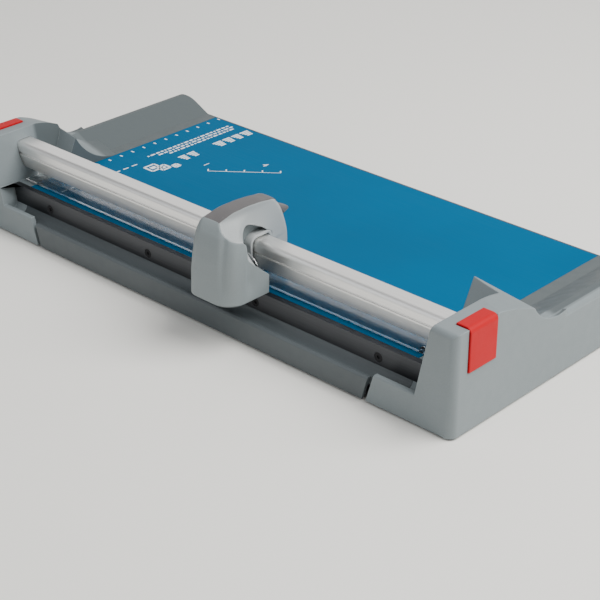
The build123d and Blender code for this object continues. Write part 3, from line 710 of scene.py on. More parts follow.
def rail_outline(grow: float) -> list[Flat]:
    """Outline of the guide rail as (y, z) in millimetres, grown by a clearance.

    Args:
        grow: clearance in millimetres.

    Returns:
        The closed outline.
    """
    front, back, low, high = -60.5 - grow, -48.5 + grow, 37.5 - grow, 54.5 + grow
    slant = grow * 0.42
    corners = [((front + 2.4 + slant, low), grow), ((back, low), grow), ((back, high), 1.2 + grow), ((front, high), 3.0 + grow), ((front, 46.0 - slant * 0.4), 2.0)]
    outline: list[Flat] = []
    count = len(corners)
    for index, (corner, radius) in enumerate(corners):
        here = Vector(corner)
        before = (Vector(corners[index - 1][0]) - here).normalized()
        after = (Vector(corners[(index + 1) % count][0]) - here).normalized()
        half = before.angle(after) / 2
        reach = max(radius, 0.05) / math.tan(half)
        start, end = here + before * reach, here + after * reach
        for point in interpolate_bezier(start.to_3d(), here.lerp(start, 0.45).to_3d(), here.lerp(end, 0.45).to_3d(), end.to_3d(), 7):
            outline.append((point.x, point.y))
    return outline


# ---------------------------------------------------------------------------------------------------------------
# Base
# ---------------------------------------------------------------------------------------------------------------
@dataclass
class Base:
    """Tray, table, knife and feet: frame pieces that keep their shape and get their finish, the tray and table plate
    also rounded edges.
    """

    nodes: dict[str, bpy.types.Object]
    palette: Palette
    body: str = "base"
    tray_rounding: float = 0.6
    plate_rounding: float = 0.3

    def dress_tray(self) -> None:
        """Finish the tray and the fasteners under it."""
        dress(self.nodes["base_tray"], self.palette.of(self.palette.dark_grey))
        soften(self.nodes["base_tray"], self.tray_rounding)
        for name in ("plate_studs", "cap_screws"):
            dress(self.nodes[name], self.palette.of(self.palette.zinc))
        dress(self.nodes["rubber_feet"], self.palette.of(self.palette.rubber))
        LOG.info("tray dressed")

    def dress_table(self) -> None:
        """Finish the table plate and the lower knife with its screws."""
        dress(self.nodes["table_plate"], self.palette.of(self.palette.table))
        soften(self.nodes["table_plate"], self.plate_rounding)
        dress(self.nodes["lower_knife"], self.palette.of(self.palette.knife))
        dress(self.nodes["knife_screws"], self.palette.of(self.palette.black_steel))
        LOG.info("table and knife dressed")


@dataclass
class TablePrint:
    """White printed marks on the blue table: a ruler, a dashed line, a measuring line and format marks."""

    palette: Palette
    body: str = "base"
    surface: float = 30.0
    ink: float = 0.05
    left: float = -156.5
    first_y: float = -13.0
    last_y: float = 97.0
    pitch: float = 10.0
    large_marks: tuple[Flat, ...] = ((31.0, 6.0), (39.0, 6.5), (63.0, 7.5), (72.0, 7.0), (80.5, 6.5), (88.5, 7.5))
    sheet_marks: tuple[Point, ...] = ((-129.5, 4.0, 8.5), (-124.0, 10.0, 6.5), (-119.0, 19.0, 4.0))
    marks: list[tuple[Flat, Flat, float]] = field(default_factory=list)

    def stroke(self, start: Flat, end: Flat, width: float) -> None:
        """Note one printed stroke, in millimetres on the table."""
        self.marks.append((start, end, width))

    def plan_ruler(self) -> None:
        """Ticks along the table's left edge, all of one length, and the dashed line beside them."""
        count = int((self.last_y - self.first_y) / self.pitch) + 1
        for index in range(count):
            y = self.first_y + index * self.pitch
            self.stroke((self.left, y), (self.left + 2.4, y), 1.1)
        y = self.first_y - 46.0
        while y < self.first_y + 16.0:
            self.stroke((-137.2, y), (-137.0, y + 4.4), 1.0)
            y += 7.4

    def plan_lines(self) -> None:
        """The measuring line with its five ticks."""
        start, end = Vector((-95.2, 28.9)), Vector((-58.5, 58.8))
        self.stroke(tuple(start), tuple(end), 0.45)
        for index in range(5):
            place = start.lerp(end, index / 4)
            self.stroke(tuple(place), (place.x - 2.2, place.y + 2.4), 0.8)

    def plan_formats(self) -> None:
        """Rows of short bars and nested corner marks that stand for the paper formats."""
        for row in range(3):
            y = 18.0 + row * 7.0
            index = 0
            while y < 94.0 - row * 2.0:
                length = 1.4 + 0.8 * ((index * 7 + row * 3) % 4)
                self.stroke((-141.4 + row * 3.1, y), (-141.4 + row * 3.1, y + length), 1.5)
                y += length + 1.2
                index += 1
        for y, length in self.large_marks:
            for line in range(4):
                self.stroke((-125.8 + line * 2.0, y + line * 0.5), (-125.8 + line * 2.0, y + length - line * 0.4), 1.4)
        for x, y, size in self.sheet_marks:
            corners = [(x, y), (x + size, y), (x + size, y + size), (x, y + size)]
            for first, second in zip(corners, corners[1:] + corners[:1]):
                self.stroke(first, second, 1.5)
            self.stroke((x + size * 0.3, y + size * 0.5), (x + size * 0.7, y + size * 0.5), size * 0.5)

    def figures(self) -> list[bpy.types.Object]:
        """Two ruler figures, 1 and 4, at their places on the table.

        Returns:
            The figure pieces.
        """
        made = []
        for value, x, y in (("1", -105.5, 33.5), ("4", -76.5, 59.0)):
            curve = bpy.data.curves.new("print_figure_" + value, "FONT")
            curve.body = value
            curve.size = 0.0068
            curve.extrude = self.ink * MM / 2
            piece = bpy.data.objects.new("print_figure_" + value, curve)
            piece.location = (x * MM, y * MM, (self.surface + self.ink / 2) * MM)
            bpy.context.scene.collection.objects.link(piece)
            bpy.context.view_layer.update()
            mesh = bpy.data.meshes.new_from_object(piece.evaluated_get(bpy.context.evaluated_depsgraph_get()))
            mesh.transform(piece.matrix_world)
            solid = bpy.data.objects.new("table_figure_" + value, mesh)
            bpy.data.objects.remove(piece)
            bpy.context.scene.collection.objects.link(solid)
            made.append(solid)
        return made

    def build(self) -> None:
        """Make the strokes one piece, and the figures pieces of their own."""
        self.plan_ruler()
        self.plan_lines()
        self.plan_formats()
        mesh = bmesh.new()
        for start, end, width in self.marks:
            along = (Vector(end) - Vector(start)).normalized() * width / 2
            across = Vector((-along.y, along.x))
            ring = [Vector(start) + across, Vector(start) - across, Vector(end) - across, Vector(end) + across]
            outline = [(corner.x, corner.y) for corner in ring]
            add_prism(mesh, outline, lambda a, b, c: (a, b, c), self.surface, self.surface + self.ink)
        pieces = [new_piece("table_print", mesh, smooth=False), *self.figures()]
        for piece in pieces:
            dress(piece, self.palette.of(self.palette.ink))
            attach(piece, self.body)
        LOG.info("table print: %d strokes", len(self.marks))


@dataclass
class EndCap:
    """One end cap with its rail plug and rail clip."""

    side: Side
    nodes: dict[str, bpy.types.Object]
    palette: Palette
    rounding: float = 0.9

    @property
    def word(self) -> str:
        """Name of this end."""
        return self.side.name.lower()

    def dress_cap(self) -> None:
        """Finish the cap and the plug behind it."""
        cap = self.nodes[f"end_cap_{self.word}"]
        dress(cap, self.palette.of(self.palette.cap_right if self.side is Side.RIGHT else self.palette.cap_left))
        soften(cap, self.rounding, 3)
        dress(self.nodes[f"rail_plug_{self.word}"], self.palette.of(self.palette.black))
        LOG.info("%s end cap dressed", self.word)

    def dress_clip(self) -> None:
        """Finish the red clip."""
        clip = self.nodes[f"rail_clip_{self.word}"]
        dress(clip, self.palette.of(self.palette.red))
        LOG.info("%s rail clip dressed", self.word)


@dataclass
class RailAndStrip:
    """The guide rail, and the clear strip with its pins and springs."""

    nodes: dict[str, bpy.types.Object]
    palette: Palette

    def dress_all(self) -> None:
        """Finish the rail, the strip and their small parts."""
        dress(self.nodes["guide_rail"], self.palette.of(self.palette.rail))
        dress(self.nodes["clamp_strip"], self.palette.of(self.palette.clear))
        dress(self.nodes["strip_pins"], self.palette.of(self.palette.black_steel))
        for side in Side:
            dress(self.nodes[f"strip_spring_{side.name.lower()}"], self.palette.of(self.palette.spring))
        LOG.info("rail and strip dressed")


# ---------------------------------------------------------------------------------------------------------------
# Cutting head
# ---------------------------------------------------------------------------------------------------------------
@dataclass
class LiftSprings:
    """Two small coil springs under the clear strip, which shorten as the strip is pressed down."""

    nodes: dict[str, bpy.types.Object]
    joints: Sequence[dict]
    palette: Palette
    body: str = "base"
    joint: str = "clamp_press"
    slot: str = "spring_steel"
    turns: int = 5
    wire: float = 0.4
    steps: int = 22
    sides: int = 8
    play: float = 0.05

    def stroke(self) -> float:
        """How far the strip goes down, in millimetres."""
        found = next(row for row in self.joints if row["name"] == self.joint)
        return max(abs(end) for end in found["range_m"]) / MM

    def coil(self, low: Vector, high: Vector) -> bmesh.types.BMesh:
        """Wire wound round the box of the spring's frame node.

        Args:
            low: the box's lowest corner, in millimetres.
            high: its highest corner.

        Returns:
            The mesh of the wire.
        """
        middle = (low + high) / 2
        radius = (high.x - low.x) / 2 - self.wire
        rise = high.z - low.z - 2 * self.wire
        count = self.turns * self.steps
        rings = []
        for step in range(count + 1):
            turn = math.tau * step / self.steps
            heart = Vector((middle.x + radius * math.cos(turn), middle.y + radius * math.sin(turn), low.z + self.wire + rise * step / count))
            out = Vector((math.cos(turn), math.sin(turn), 0.0))
            ring = []
            for side in range(self.sides):
                angle = math.tau * side / self.sides
                spot = heart + out * (self.wire * math.cos(angle)) + Vector((0.0, 0.0, self.wire * math.sin(angle)))
                ring.append((spot.x, spot.y, spot.z))
            rings.append(ring)
        mesh = bmesh.new()
        verts = add_grid(mesh, rings, wrap=True)
        mesh.faces.new(verts[0])
        mesh.faces.new(list(reversed(verts[-1])))
        return mesh

    def build(self) -> None:
        """Make both springs."""
        for side in Side:
            word = side.name.lower()
            low, high = (Vector(corner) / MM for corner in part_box(f"strip_spring_{word}"))
            piece = new_piece(f"lift_spring_{word}", self.coil(low, high))
            dress(piece, self.palette.of(self.palette.spring))
            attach(piece, self.body)
            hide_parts(f"strip_spring_{word}")
            height = high.z - low.z
            (height - self.stroke() - self.play) / height
            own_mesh(piece)
            LOG.info("%s lift spring built", word)


@dataclass
class HeadForm:
    """Measured lines of the head that its mouldings share, in millimetres, X from the blade's centre."""

    centre_x: float = 37.0
    floor: float = 31.9
    cover_back: float = -68.6
    left_line: tuple[Flat, ...] = ((32.0, -18.4), (45.0, -18.2), (55.0, -17.6), (60.0, -17.0), (66.0, -16.3), (70.5, -15.5), (73.0, -14.3), (75.0, -13.0), (76.5, -12.0))
    left_round: tuple[Flat, ...] = ((32.0, 10.0), (58.0, 10.0), (66.0, 8.5), (70.5, 7.3), (73.0, 5.0), (75.0, 3.0), (76.5, 1.6))
    front_line: tuple[Flat, ...] = ((32.0, -99.4), (46.0, -99.1), (56.0, -98.4), (64.0, -97.0), (70.0, -94.9), (74.0, -92.0), (76.5, -89.0))
    right_line: tuple[Flat, ...] = ((32.0, 17.9), (50.0, 18.3), (60.0, 18.2), (68.0, 17.4), (76.5, 14.0))

    def at(self, x: float, y: float, z: float) -> Point:
        """A place of the head in the row frame."""
        return (self.centre_x + x, y, z)


@dataclass
class FrontCover:
    """Grey front moulding of the head, with its round right corner, soft grooves and raised rim."""

    form: HeadForm
    palette: Palette
    body: str = "cutting_head"
    right_radius: float = 12.5
    wall: float = 1.7
    rows: int = 36
    counts: tuple[int, int, int, int, int] = (28, 24, 44, 44, 40)
    rim: tuple[Flat, ...] = (
        (0.000, 43.0), (0.013, 44.8), (0.040, 48.6), (0.068, 52.1), (0.086, 54.8), (0.098, 58.0), (0.108, 62.5), (0.118, 67.2), (0.135, 71.0),
        (0.155, 73.2), (0.200, 74.8), (0.260, 75.8), (0.320, 76.1), (0.420, 76.2), (0.498, 76.1), (0.520, 75.7), (0.544, 74.4), (0.567, 72.6),
        (0.600, 70.8), (0.644, 69.5), (0.689, 68.7), (0.735, 67.8), (0.756, 66.2), (0.770, 63.2), (0.789, 59.0), (0.812, 56.2), (0.833, 54.6),
        (0.867, 52.2), (0.978, 44.8), (1.000, 43.0),
    )
    relief_marks: tuple[tuple[float, float, float, float, float], ...] = (
        (0.597, 0.024, 1.00, 36.0, 74.0),
        (0.672, 0.036, -0.40, 36.0, 72.0),
        (0.765, 0.014, -0.30, 40.0, 70.0),
        (0.815, 0.034, 1.05, 33.0, 66.0),
    )

    def plan(self, z: float) -> list[Flat]:
        """Outline of the cover at one height, from its back left to its back right.

        Args:
            z: height in millimetres.

        Returns:
            Points as (x, y).
        """
        left = interpolate(self.form.left_line, z)
        right = interpolate(self.form.right_line, z)
        front = interpolate(self.form.front_line, z)
        near, far = interpolate(self.form.left_round, z), self.right_radius
        back = self.form.cover_back
        side_a, turn_a, face, turn_b, side_b = self.counts
        points: list[Flat] = []
        for step in range(side_a):
            points.append((left, back + (front + near - back) * step / side_a))
        for step in range(turn_a):
            turn = math.pi / 2 * step / turn_a
            points.append((left + near * (1 - math.cos(turn)), front + near * (1 - math.sin(turn))))
        for step in range(face):
            points.append((left + near + (right - far - left - near) * step / face, front))
        for step in range(turn_b):
            turn = math.pi / 2 * step / turn_b
            points.append((right - far * (1 - math.sin(turn)), front + far * (1 - math.cos(turn))))
        for step in range(side_b + 1):
            points.append((right, front + far + (back - front - far) * step / side_b))
        return points

    def relief(self, share: float, z: float) -> float:
        """Depth of the soft grooves at a place.

        Args:
            share: place along the outline, from 0 to 1.
            z: height.

        Returns:
            How far the surface is pushed in, in millimetres.
        """
        depth = 0.0
        for place, width, deep, low, high in self.relief_marks:
            rise = max(0.0, min(1.0, (z - low) / 12.0))
            fall = max(0.0, min(1.0, (high - z) / 6.0))
            depth += deep * math.exp(-(((share - place) / width) ** 2)) * rise * rise * (3 - 2 * rise) * fall
        return depth

    def skin(self, share: float, z: float, inward: float = 0.0) -> Point:
        """A point of the cover's outer face.

        Args:
            share: place along the outline, from 0 to 1.
            z: height in millimetres.
            inward: extra depth below the face.

        Returns:
            The place in the row frame.
        """
        outline = self.plan(z)
        last = len(outline) - 1
        column = min(last, max(0, round(share * last)))
        x, y = outline[column]
        before, after = outline[max(column - 1, 0)], outline[min(column + 1, last)]
        out = Vector((after[1] - before[1], before[0] - after[0])).normalized()
        depth = self.relief(share, z) + inward
        return self.form.at(x - out.x * depth, y - out.y * depth, z)

    def surface(self) -> list[list[Point]]:
        """Rows of the outer face, from the bottom to the rim.

        Returns:
            The rows of points.
        """
        last = sum(self.counts)
        edge = smooth_path(self.rim, 8)
        rows = []
        for row in range(self.rows + 1):
            points = []
            for column in range(last + 1):
                top = interpolate(edge, column / last)
                points.append(self.skin(column / last, self.form.floor + (top - self.form.floor) * row / self.rows))
            rows.append(points)
        return rows

    def build(self) -> bpy.types.Object:
        """Make the cover and hide the frame's front shell in its place.

        Returns:
            The cover.
        """
        mesh = bmesh.new()
        add_grid(mesh, self.surface())
        piece = new_piece("front_cover_moulding", mesh, outward_from=self.form.at(0.0, -80.0, 50.0))
        shell = piece.modifiers.new("shell", "SOLIDIFY")
        shell.thickness = self.wall * MM
        shell.offset = -1.0
        shell.use_even_offset = False
        rounding = piece.modifiers.new("rim", "BEVEL")
        rounding.width = 0.45 * MM
        rounding.segments = 3
        rounding.limit_method = "ANGLE"
        rounding.angle_limit = math.radians(50.0)
        rounding.use_clamp_overlap = True
        applied(piece)
        for face in piece.data.polygons:
            face.use_smooth = True
        dress(piece, self.palette.of(self.palette.grey))
        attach(piece, self.body)
        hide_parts("head_front_cover")
        LOG.info("front cover built")
        return piece


@dataclass
class GuardSkirt:
    """Thin lower lip that shows under the front cover and keeps fingers off the blade."""

    form: HeadForm
    palette: Palette
    cover: FrontCover
    body: str = "cutting_head"
    inset: float = 1.5
    thickness: float = 1.2
    low: float = 30.5
    high: float = 33.4
    first: float = 0.26
    last: float = 0.80

    def build(self) -> bpy.types.Object:
        """Make the lip from a strip that follows the cover's outline.

        Returns:
            The lip.
        """
        outline = self.cover.plan(self.form.floor)
        count = len(outline) - 1
        chosen = range(round(self.first * count), round(self.last * count) + 1)
        rings = []
        for column in chosen:
            before, after = outline[column - 1], outline[column + 1]
            out = Vector((after[1] - before[1], before[0] - after[0])).normalized()
            near = Vector(outline[column]) - out * self.inset
            far = near - out * self.thickness
            rings.append([
                self.form.at(near.x, near.y, self.low), self.form.at(near.x, near.y, self.high),
                self.form.at(far.x, far.y, self.high), self.form.at(far.x, far.y, self.low),
            ])
        mesh = bmesh.new()
        verts = add_grid(mesh, rings, wrap=True)
        mesh.faces.new(verts[0])
        mesh.faces.new(list(reversed(verts[-1])))
        piece = new_piece("guard_skirt", mesh)
        rounding = piece.modifiers.new("round", "BEVEL")
        rounding.width = 0.3 * MM
        rounding.segments = 2
        rounding.limit_method = "ANGLE"
        rounding.angle_limit = math.radians(50.0)
        applied(piece)
        dress(piece, self.palette.of(self.palette.dark_grey))
        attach(piece, self.body)
        LOG.info("guard skirt built")
        return piece


@dataclass
class Bridge:
    """Light moulding over the rail: dished right face, rounded top and back, recess round the rail."""

    form: HeadForm
    palette: Palette
    cover: FrontCover
    body: str = "cutting_head"
    wall: float = 1.4
    face_x: float = -2.5
    rows: int = 26
    columns: int = 120
    drop: float = 0.7
    lean: tuple[Flat, ...] = ((32.0, -18.0), (60.0, -14.9), (70.0, -14.0), (76.5, -12.0))
    recess_floor: float = -6.6
    recess_wall: float = 1.1
    recess: tuple[Flat, ...] = (
        (-49.0, 57.0), (-53.5, 60.4), (-58.5, 63.0), (-64.5, 65.8), (-68.6, 66.0), (-72.6, 63.0), (-74.4, 59.0), (-75.6, 54.0), (-76.0, 48.0),
        (-73.0, 40.0), (-66.0, 35.6), (-56.0, 35.2), (-47.5, 35.4), (-45.6, 44.0), (-46.2, 52.0), (-49.0, 57.0),
    )
    lower: tuple[Point, ...] = ((-1.5, -68.3, 41.0), (-2.5, -68.3, 37.0), (-2.6, -67.4, 33.2), (-2.6, -60.0, 33.0), (-2.6, -50.0, 33.0), (-2.6, -43.0, 33.0), (-2.6, -37.9, 33.0))
    top: tuple[Point, ...] = (
        (0.6, -88.6, 75.2), (0.5, -85.5, 76.1), (0.2, -82.0, 76.9), (-0.1, -77.0, 77.6), (-0.4, -72.0, 77.7), (-0.6, -66.0, 77.5), (-0.9, -60.0, 77.1),
        (-1.1, -55.0, 76.6), (-1.4, -49.5, 75.7), (-1.6, -45.5, 75.1), (-1.7, -43.2, 74.0), (-1.8, -39.9, 69.8), (-1.8, -37.0, 63.9),
        (-1.8, -34.1, 54.5), (-1.9, -33.2, 48.4), (-2.1, -33.2, 43.0), (-2.4, -34.6, 38.6), (-2.6, -37.9, 33.0),
    )

    def crease(self) -> list[Point]:
        """Line just inside the cover's rim where the dished face starts, X from the blade's centre.

        Returns:
            The points of the line.
        """
        points: list[Point] = [(0.6, -88.6, 75.2)]
        for share in (0.530, 0.544, 0.556, 0.567, 0.583, 0.600, 0.622, 0.644, 0.667, 0.689, 0.712, 0.735, 0.756, 0.772, 0.789, 0.812, 0.833, 0.867, 0.920, 0.978):
            z = interpolate(self.cover.rim, share)
            x, y, _ = self.cover.skin(share, z, self.cover.wall - 0.2)
            points.append((x - self.form.centre_x, y, z - self.drop))
        return points

    def right_face(self) -> list[list[Point]]:
        """Rows of the dished right face, from its upper edge to its lower one.

        Returns:
            The rows of points.
        """
        upper = smooth_path(self.top, 6)
        below = smooth_path((*self.crease(), *self.lower), 5)
        rows = []
        for row in range(self.rows + 1):
            share = row / self.rows
            points = []
            for column in range(self.columns + 1):
                a = self.sample(upper, column / self.columns)
                b = self.sample(below, column / self.columns)
                y = a[1] + (b[1] - a[1]) * share
                z = a[2] + (b[2] - a[2]) * share
                dish = min(1.0, math.dist(a[1:], b[1:]) / 30.0)
                ease = min(1.0, share * 1.5)
                flat = a[0] + (self.face_x - a[0]) * ease * ease * (3 - 2 * ease) * dish
                flare = max(b[0] - self.face_x, 0.0)
                if flare > 0.0:
                    x = flat + (b[0] - flat) * share ** (1.7 + flare * 0.13)
                else:
                    x = flat + (b[0] - flat) * share
                points.append(self.form.at(x, y, z))
            rows.append(points)
        return rows

    @staticmethod
    def sample(path: Sequence[tuple[float, ...]], share: float) -> tuple[float, ...]:
        """A point part of the way along a path.

        Args:
            path: the path's points.
            share: from 0 at its start to 1 at its end.

        Returns:
            The point.
        """
        place = share * (len(path) - 1)
        index = min(int(place), len(path) - 2)
        part = place - index
        return tuple(a + (b - a) * part for a, b in zip(path[index], path[index + 1]))

    def across(self) -> list[list[Point]]:
        """Rows that run from the right edge over the top and back to the left side and down it.

        Returns:
            The rows of points.
        """
        upper = smooth_path(self.top, 6)
        rows = []
        steps, side_steps = 10, 18
        for row in range(1, steps + 1):
            share = row / steps
            points = []
            for column in range(self.columns + 1):
                x, y, z = self.sample(upper, column / self.columns)
                left = self.left_wall(y, z)
                points.append(self.form.at(x + (left - x) * share, y, z))
            rows.append(points)
        for row in range(1, side_steps + 1):
            share = row / side_steps
            points = []
            for column in range(self.columns + 1):
                _, y, z = self.sample(upper, column / self.columns)
                height = z + (min(z, max(33.0, self.left_rim(y))) - z) * share
                points.append(self.form.at(self.left_wall(y, height), y, height))
            rows.append(points)
        return rows

    def left_wall(self, y: float, z: float) -> float:
        """X of the left wall, which leans in behind the seam so that it clears the end cap.

        Args:
            y: place front to back.
            z: height.

        Returns:
            X from the blade's centre.
        """
        flush = interpolate(self.form.left_line, z) + 0.2
        leaning = interpolate(self.lean, z)
        share = max(0.0, min(1.0, (y - self.form.cover_back - 2.0) / 12.0))
        return flush + (max(flush, leaning) - flush) * share * share * (3 - 2 * share)

    def left_rim(self, y: float) -> float:
        """Height of the front cover's rim on the left side at a place front to back."""
        return interpolate(((-90.0, 74.0), (-86.5, 67.5), (-82.0, 60.0), (-77.6, 52.0), (-72.5, 47.6), (-68.7, 46.6), (-68.4, 33.0), (-37.9, 33.0), (-34.6, 38.6), (-33.2, 43.0), (-32.8, 46.0)), y)

    def cutter(self, name: str, outline: Sequence[Flat], start: float, end: float) -> bpy.types.Object:
        """A prism along the rail, used to cut the bridge.

        Args:
            name: its name.
            outline: its outline as (y, z).
            start: first X from the blade's centre.
            end: last X.

        Returns:
            The cutter.
        """
        mesh = bmesh.new()
        add_prism(mesh, outline, lambda a, b, c: self.form.at(c, a, b), start, end)
        return new_piece(name, mesh, smooth=False)

    def build(self) -> bpy.types.Object:
        """Make the bridge and hide the frame's rear shell in its place.

        Returns:
            The bridge.
        """
        mesh = bmesh.new()
        rows = list(reversed(self.right_face())) + self.across()
        add_grid(mesh, rows)
        bmesh.ops.remove_doubles(mesh, verts=mesh.verts, dist=0.00002)
        bmesh.ops.dissolve_degenerate(mesh, edges=mesh.edges, dist=0.00001)
        piece = new_piece("bridge_moulding", mesh, outward_from=self.form.at(-9.0, -62.0, 50.0))
        shell = piece.modifiers.new("shell", "SOLIDIFY")
        shell.thickness = self.wall * MM
        shell.offset = -1.0
        applied(piece)
        cutters = [
            self.cutter("recess_cutter", smooth_path(self.recess, 4)[:-1], self.recess_floor - 2.0, 30.0),
            self.cutter("bore_cutter", rail_outline(2.7), -30.0, 30.0),
        ]
        for tool in cutters:
            cut = piece.modifiers.new("cut", "BOOLEAN")
            cut.object = tool
            cut.operation = "DIFFERENCE"
            cut.solver = "EXACT"
        applied(piece)
        for tool in cutters:
            bpy.data.objects.remove(tool)
        for face in piece.data.polygons:
            face.use_smooth = True
        dress(piece, self.palette.of(self.palette.light))
        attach(piece, self.body)
        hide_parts("head_bridge")
        LOG.info("bridge built")
        return piece

    def recess_rim(self) -> bpy.types.Object:
        """Make the recess's side wall, from its floor out to the dished face.

        Returns:
            The wall.
        """
        skin = bmesh.new()
        add_grid(skin, self.right_face())
        tree = BVHTree.FromBMesh(skin)
        skin.free()
        outline = smooth_path(self.recess, 4)[:-1]
        deep, shallow = [], []
        for y, z in outline:
            start = Vector(self.form.at(60.0, y, z)) * MM
            hit = tree.ray_cast(start, Vector((-1.0, 0.0, 0.0)))[0]
            reach = self.face_x if hit is None else hit.x / MM - self.form.centre_x
            deep.append(self.form.at(self.recess_floor - 0.5, y, z))
            shallow.append(self.form.at(reach - 0.05, y, z))
        mesh = bmesh.new()
        add_grid(mesh, [deep, shallow], wrap=False)
        ends = [mesh.verts.new(Vector(row[0]) * MM) for row in (deep, shallow)]
        lasts = [mesh.verts.new(Vector(row[-1]) * MM) for row in (deep, shallow)]
        mesh.faces.new((lasts[0], ends[0], ends[1], lasts[1]))
        bmesh.ops.remove_doubles(mesh, verts=mesh.verts, dist=0.000001)
        piece = new_piece("bridge_recess_rim", mesh, outward_from=self.form.at(0.0, -60.0, 50.0))
        wall = piece.modifiers.new("wall", "SOLIDIFY")
        wall.thickness = 0.8 * MM
        wall.offset = 1.0
        applied(piece)
        dress(piece, self.palette.of(self.palette.light))
        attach(piece, self.body)
        return piece

    def saddle(self) -> bpy.types.Object:
        """Make the ring wall behind the recess that holds the collar.

        Returns:
            The saddle.
        """
        inner = smooth_path(self.recess, 4)[:-1]
        middle = Vector((sum(p[0] for p in inner), sum(p[1] for p in inner))) / len(inner)
        outer = [tuple(Vector(p) + (Vector(p) - middle).normalized() * self.recess_wall) for p in inner]
        mesh = bmesh.new()
        add_prism(mesh, outer, lambda a, b, c: self.form.at(c, a, b), -14.0, self.face_x - 0.4)
        piece = new_piece("bridge_saddle", mesh)
        tools = [self.cutter("saddle_bore", rail_outline(2.7), -30.0, 30.0), self.cutter("saddle_recess", inner, self.recess_floor, 30.0)]
        for tool in tools:
            cut = piece.modifiers.new("cut", "BOOLEAN")
            cut.object = tool
            cut.operation = "DIFFERENCE"
            cut.solver = "EXACT"
        applied(piece)
        for tool in tools:
            bpy.data.objects.remove(tool)
        dress(piece, self.palette.of(self.palette.grey))
        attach(piece, self.body)
        return piece


@dataclass
class TopBand:
    """Dark soft band along the head's top, with its thumb lip behind."""

    form: HeadForm
    palette: Palette
    body: str = "cutting_head"
    left: float = -11.3
    thickness: float = 0.65
    columns: int = 10
    right_line: tuple[Flat, ...] = ((-90.5, 0.5), (-84.0, 0.4), (-77.0, -0.1), (-66.0, -0.6), (-56.0, -1.0), (-48.0, -1.4), (-43.0, -1.6))
    top_line: tuple[Flat, ...] = (
        (-89.4, 75.9), (-86.0, 76.8), (-82.0, 77.6), (-77.0, 78.2), (-72.0, 78.28), (-66.0, 78.2), (-60.0, 77.8), (-55.0, 77.3), (-49.5, 76.4), (-45.5, 75.8),
        (-43.4, 74.9), (-42.0, 72.9),
    )

    def build(self) -> bpy.types.Object:
        """Make the band and its lip.

        Returns:
            The band.
        """
        path = smooth_path(self.top_line, 5)
        mesh = bmesh.new()
        rows = []
        for y, z in path:
            right = interpolate(self.right_line, y)
            ring = []
            for column in range(self.columns + 1):
                share = column / self.columns
                crown = 0.25 * math.sin(math.pi * share) - 0.25
                ring.append(self.form.at(self.left + (right - self.left) * share, y, z + crown))
            for column in range(self.columns, -1, -1):
                share = column / self.columns
                ring.append(self.form.at(self.left + (right - self.left) * share, y, z - self.thickness))
            rows.append(ring)
        verts = add_grid(mesh, rows, wrap=True)
        mesh.faces.new(verts[0])
        mesh.faces.new(list(reversed(verts[-1])))
        piece = new_piece("top_band", mesh)
        rounding = piece.modifiers.new("round", "BEVEL")
        rounding.width = 0.35 * MM
        rounding.segments = 3
        rounding.limit_method = "ANGLE"
        rounding.angle_limit = math.radians(45.0)
        applied(piece)
        for face in piece.data.polygons:
            face.use_smooth = True
        dress(piece, self.palette.of(self.palette.inlay))
        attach(piece, self.body)
        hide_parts("head_top_inlay")
        self.lip()
        LOG.info("top band built")
        return piece

    def lip(self) -> bpy.types.Object:
        """Make the thumb lip behind the band.

        Returns:
            The lip.
        """
        outline = smooth_path(((-42.4, 71.2), (-38.0, 69.0), (-33.6, 66.9), (-30.1, 65.2), (-29.9, 64.6), (-30.6, 64.1), (-33.8, 62.8), (-36.6, 63.2), (-39.6, 66.2)), 4)
        mesh = bmesh.new()
        rows = []
        for index in range(9):
            share = index / 8
            x = -10.8 + (-2.6 + 10.8) * share
            pinch = 1.0 - 0.12 * abs(2 * share - 1) ** 3
            rows.append([self.form.at(x, -43.0 + (y + 43.0) * pinch, z) for y, z in outline])
        verts = add_grid(mesh, rows, wrap=True)
        mesh.faces.new(verts[0])
        mesh.faces.new(list(reversed(verts[-1])))
        piece = new_piece("thumb_lip", mesh)
        dress(piece, self.palette.of(self.palette.inlay))
        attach(piece, self.body)
        return piece


@dataclass
class HeadInside:
    """Small parts of the head that keep their frame shape."""

    nodes: dict[str, bpy.types.Object]
    palette: Palette

    def dress_all(self) -> None:
        """Finish the collar, the pads, the blade and what holds it."""
        choice = {
            "rail_collar": self.palette.light,
            "slide_shoes": self.palette.acetal,
            "pressure_shoe": self.palette.acetal,
            "round_blade": Metal("blade_finish", (0.72, 0.73, 0.74), roughness=0.18, lay=Lay.NONE, line=1500.0),
            "blade_hub": self.palette.black,
            "blade_axle": self.palette.zinc,
            "blade_bush": self.palette.acetal,
            "blade_carrier": self.palette.zinc,
            "carrier_screws": self.palette.zinc,
            "spring_washer": self.palette.spring,
            "axle_nut": self.palette.zinc,
            "blade_guard": self.palette.grey,
            "head_screws": self.palette.zinc,
        }
        for name, finish in choice.items():
            dress(self.nodes[name], self.palette.of(finish))
        soften(self.nodes["rail_collar"], 0.4)
        soften(self.nodes["blade_guard"], 0.4)
        LOG.info("%d inner parts dressed", len(choice))


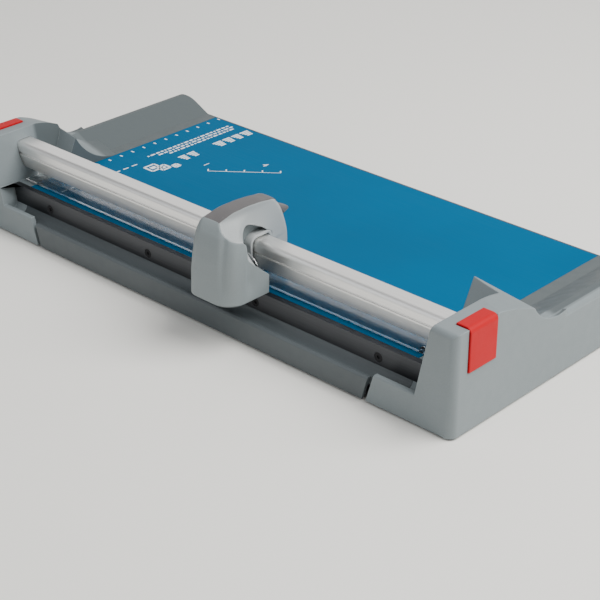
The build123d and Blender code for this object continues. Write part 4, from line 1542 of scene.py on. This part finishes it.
# ---------------------------------------------------------------------------------------------------------------
# Stage
# ---------------------------------------------------------------------------------------------------------------
@dataclass
class Studio:
    """Pale desk, soft lights and the camera."""

    palette: Palette
    floor_half: float = 3.0
    camera_place: Point = (0.6155, -0.6405, 0.451)
    camera_turn: Point = (62.1, 0.0, 43.2)
    lens: float = 97.6
    world_strength: float = 0.42

    def floor(self) -> None:
        """Make the desk surface, which isn't part of the trimmer."""
        mesh = bmesh.new()
        half = self.floor_half / MM
        add_grid(mesh, [[(x * half / 4, y * half / 4, -0.05) for x in range(-4, 5)] for y in range(-4, 5)])
        piece = new_piece("desk_surface", mesh)
        dress(piece, self.palette.of(self.palette.desk))

    def area(self, name: str, place: Point, aim: Point, size: float, power: float, colour: Colour) -> None:
        """Add a soft square light.

        Args:
            name: its name.
            place: where it hangs, in metres.
            aim: the place that it faces.
            size: its side in metres.
            power: its power in watts.
            colour: its colour.
        """
        data = bpy.data.lights.new(name, "AREA")
        data.shape = "SQUARE"
        data.size = size
        data.energy = power
        data.color = colour
        lamp = bpy.data.objects.new(name, data)
        lamp.location = place
        lamp.rotation_euler = (Vector(aim) - Vector(place)).to_track_quat("-Z", "Y").to_euler()
        bpy.context.scene.collection.objects.link(lamp)

    def lights(self) -> None:
        """Add the key light from the upper right, a fill from the left and the pale surroundings."""
        aim = (0.05, 0.0, 0.03)
        self.area("key_light", (0.85, 0.35, 1.15), aim, 1.1, 36.0, (1.0, 0.99, 0.97))
        self.area("fill_light", (-0.5, -1.2, 0.9), aim, 1.2, 5.0, (0.95, 0.97, 1.0))
        self.area("rear_light", (-0.95, 1.0, 0.85), aim, 1.3, 4.5, (1.0, 0.98, 0.96))
        world = bpy.data.worlds.new("surroundings")
        world.use_nodes = True
        back = world.node_tree.nodes["Background"]
        back.inputs["Color"].default_value = (0.93, 0.94, 0.95, 1.0)
        back.inputs["Strength"].default_value = self.world_strength
        bpy.context.scene.world = world

    def camera(self) -> None:
        """Add the camera at its measured place."""
        data = bpy.data.cameras.new("camera")
        data.lens = self.lens
        data.sensor_width = 36.0
        data.clip_end = 50.0
        camera = bpy.data.objects.new("camera", data)
        camera.location = self.camera_place
        camera.rotation_euler = tuple(math.radians(angle) for angle in self.camera_turn)
        bpy.context.scene.collection.objects.link(camera)
        bpy.context.scene.camera = camera

    def build(self) -> None:
        """Set up the whole stage."""
        self.floor()
        self.lights()
        self.camera()
        LOG.info("stage ready")


def main() -> None:
    """Load the frame and build each sub-assembly in order."""
    logging.basicConfig(level=logging.INFO, format="%(name)s: %(message)s")
    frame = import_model()
    nodes = frame["nodes"]
    palette = Palette()
    base = Base(nodes, palette)
    base.dress_tray()
    base.dress_table()
    TablePrint(palette).build()
    for side in Side:
        cap = EndCap(side, nodes, palette)
        cap.dress_cap()
        cap.dress_clip()
    RailAndStrip(nodes, palette).dress_all()
    LiftSprings(nodes, frame["joints"], palette).build()
    form = HeadForm()
    cover = FrontCover(form, palette)
    cover.build()
    GuardSkirt(form, palette, cover).build()
    bridge = Bridge(form, palette, cover=cover)
    bridge.build()
    bridge.saddle()
    bridge.recess_rim()
    TopBand(form, palette).build()
    HeadInside(nodes, palette).dress_all()
    Studio(palette).build()


if __name__ == "__main__":
    main()
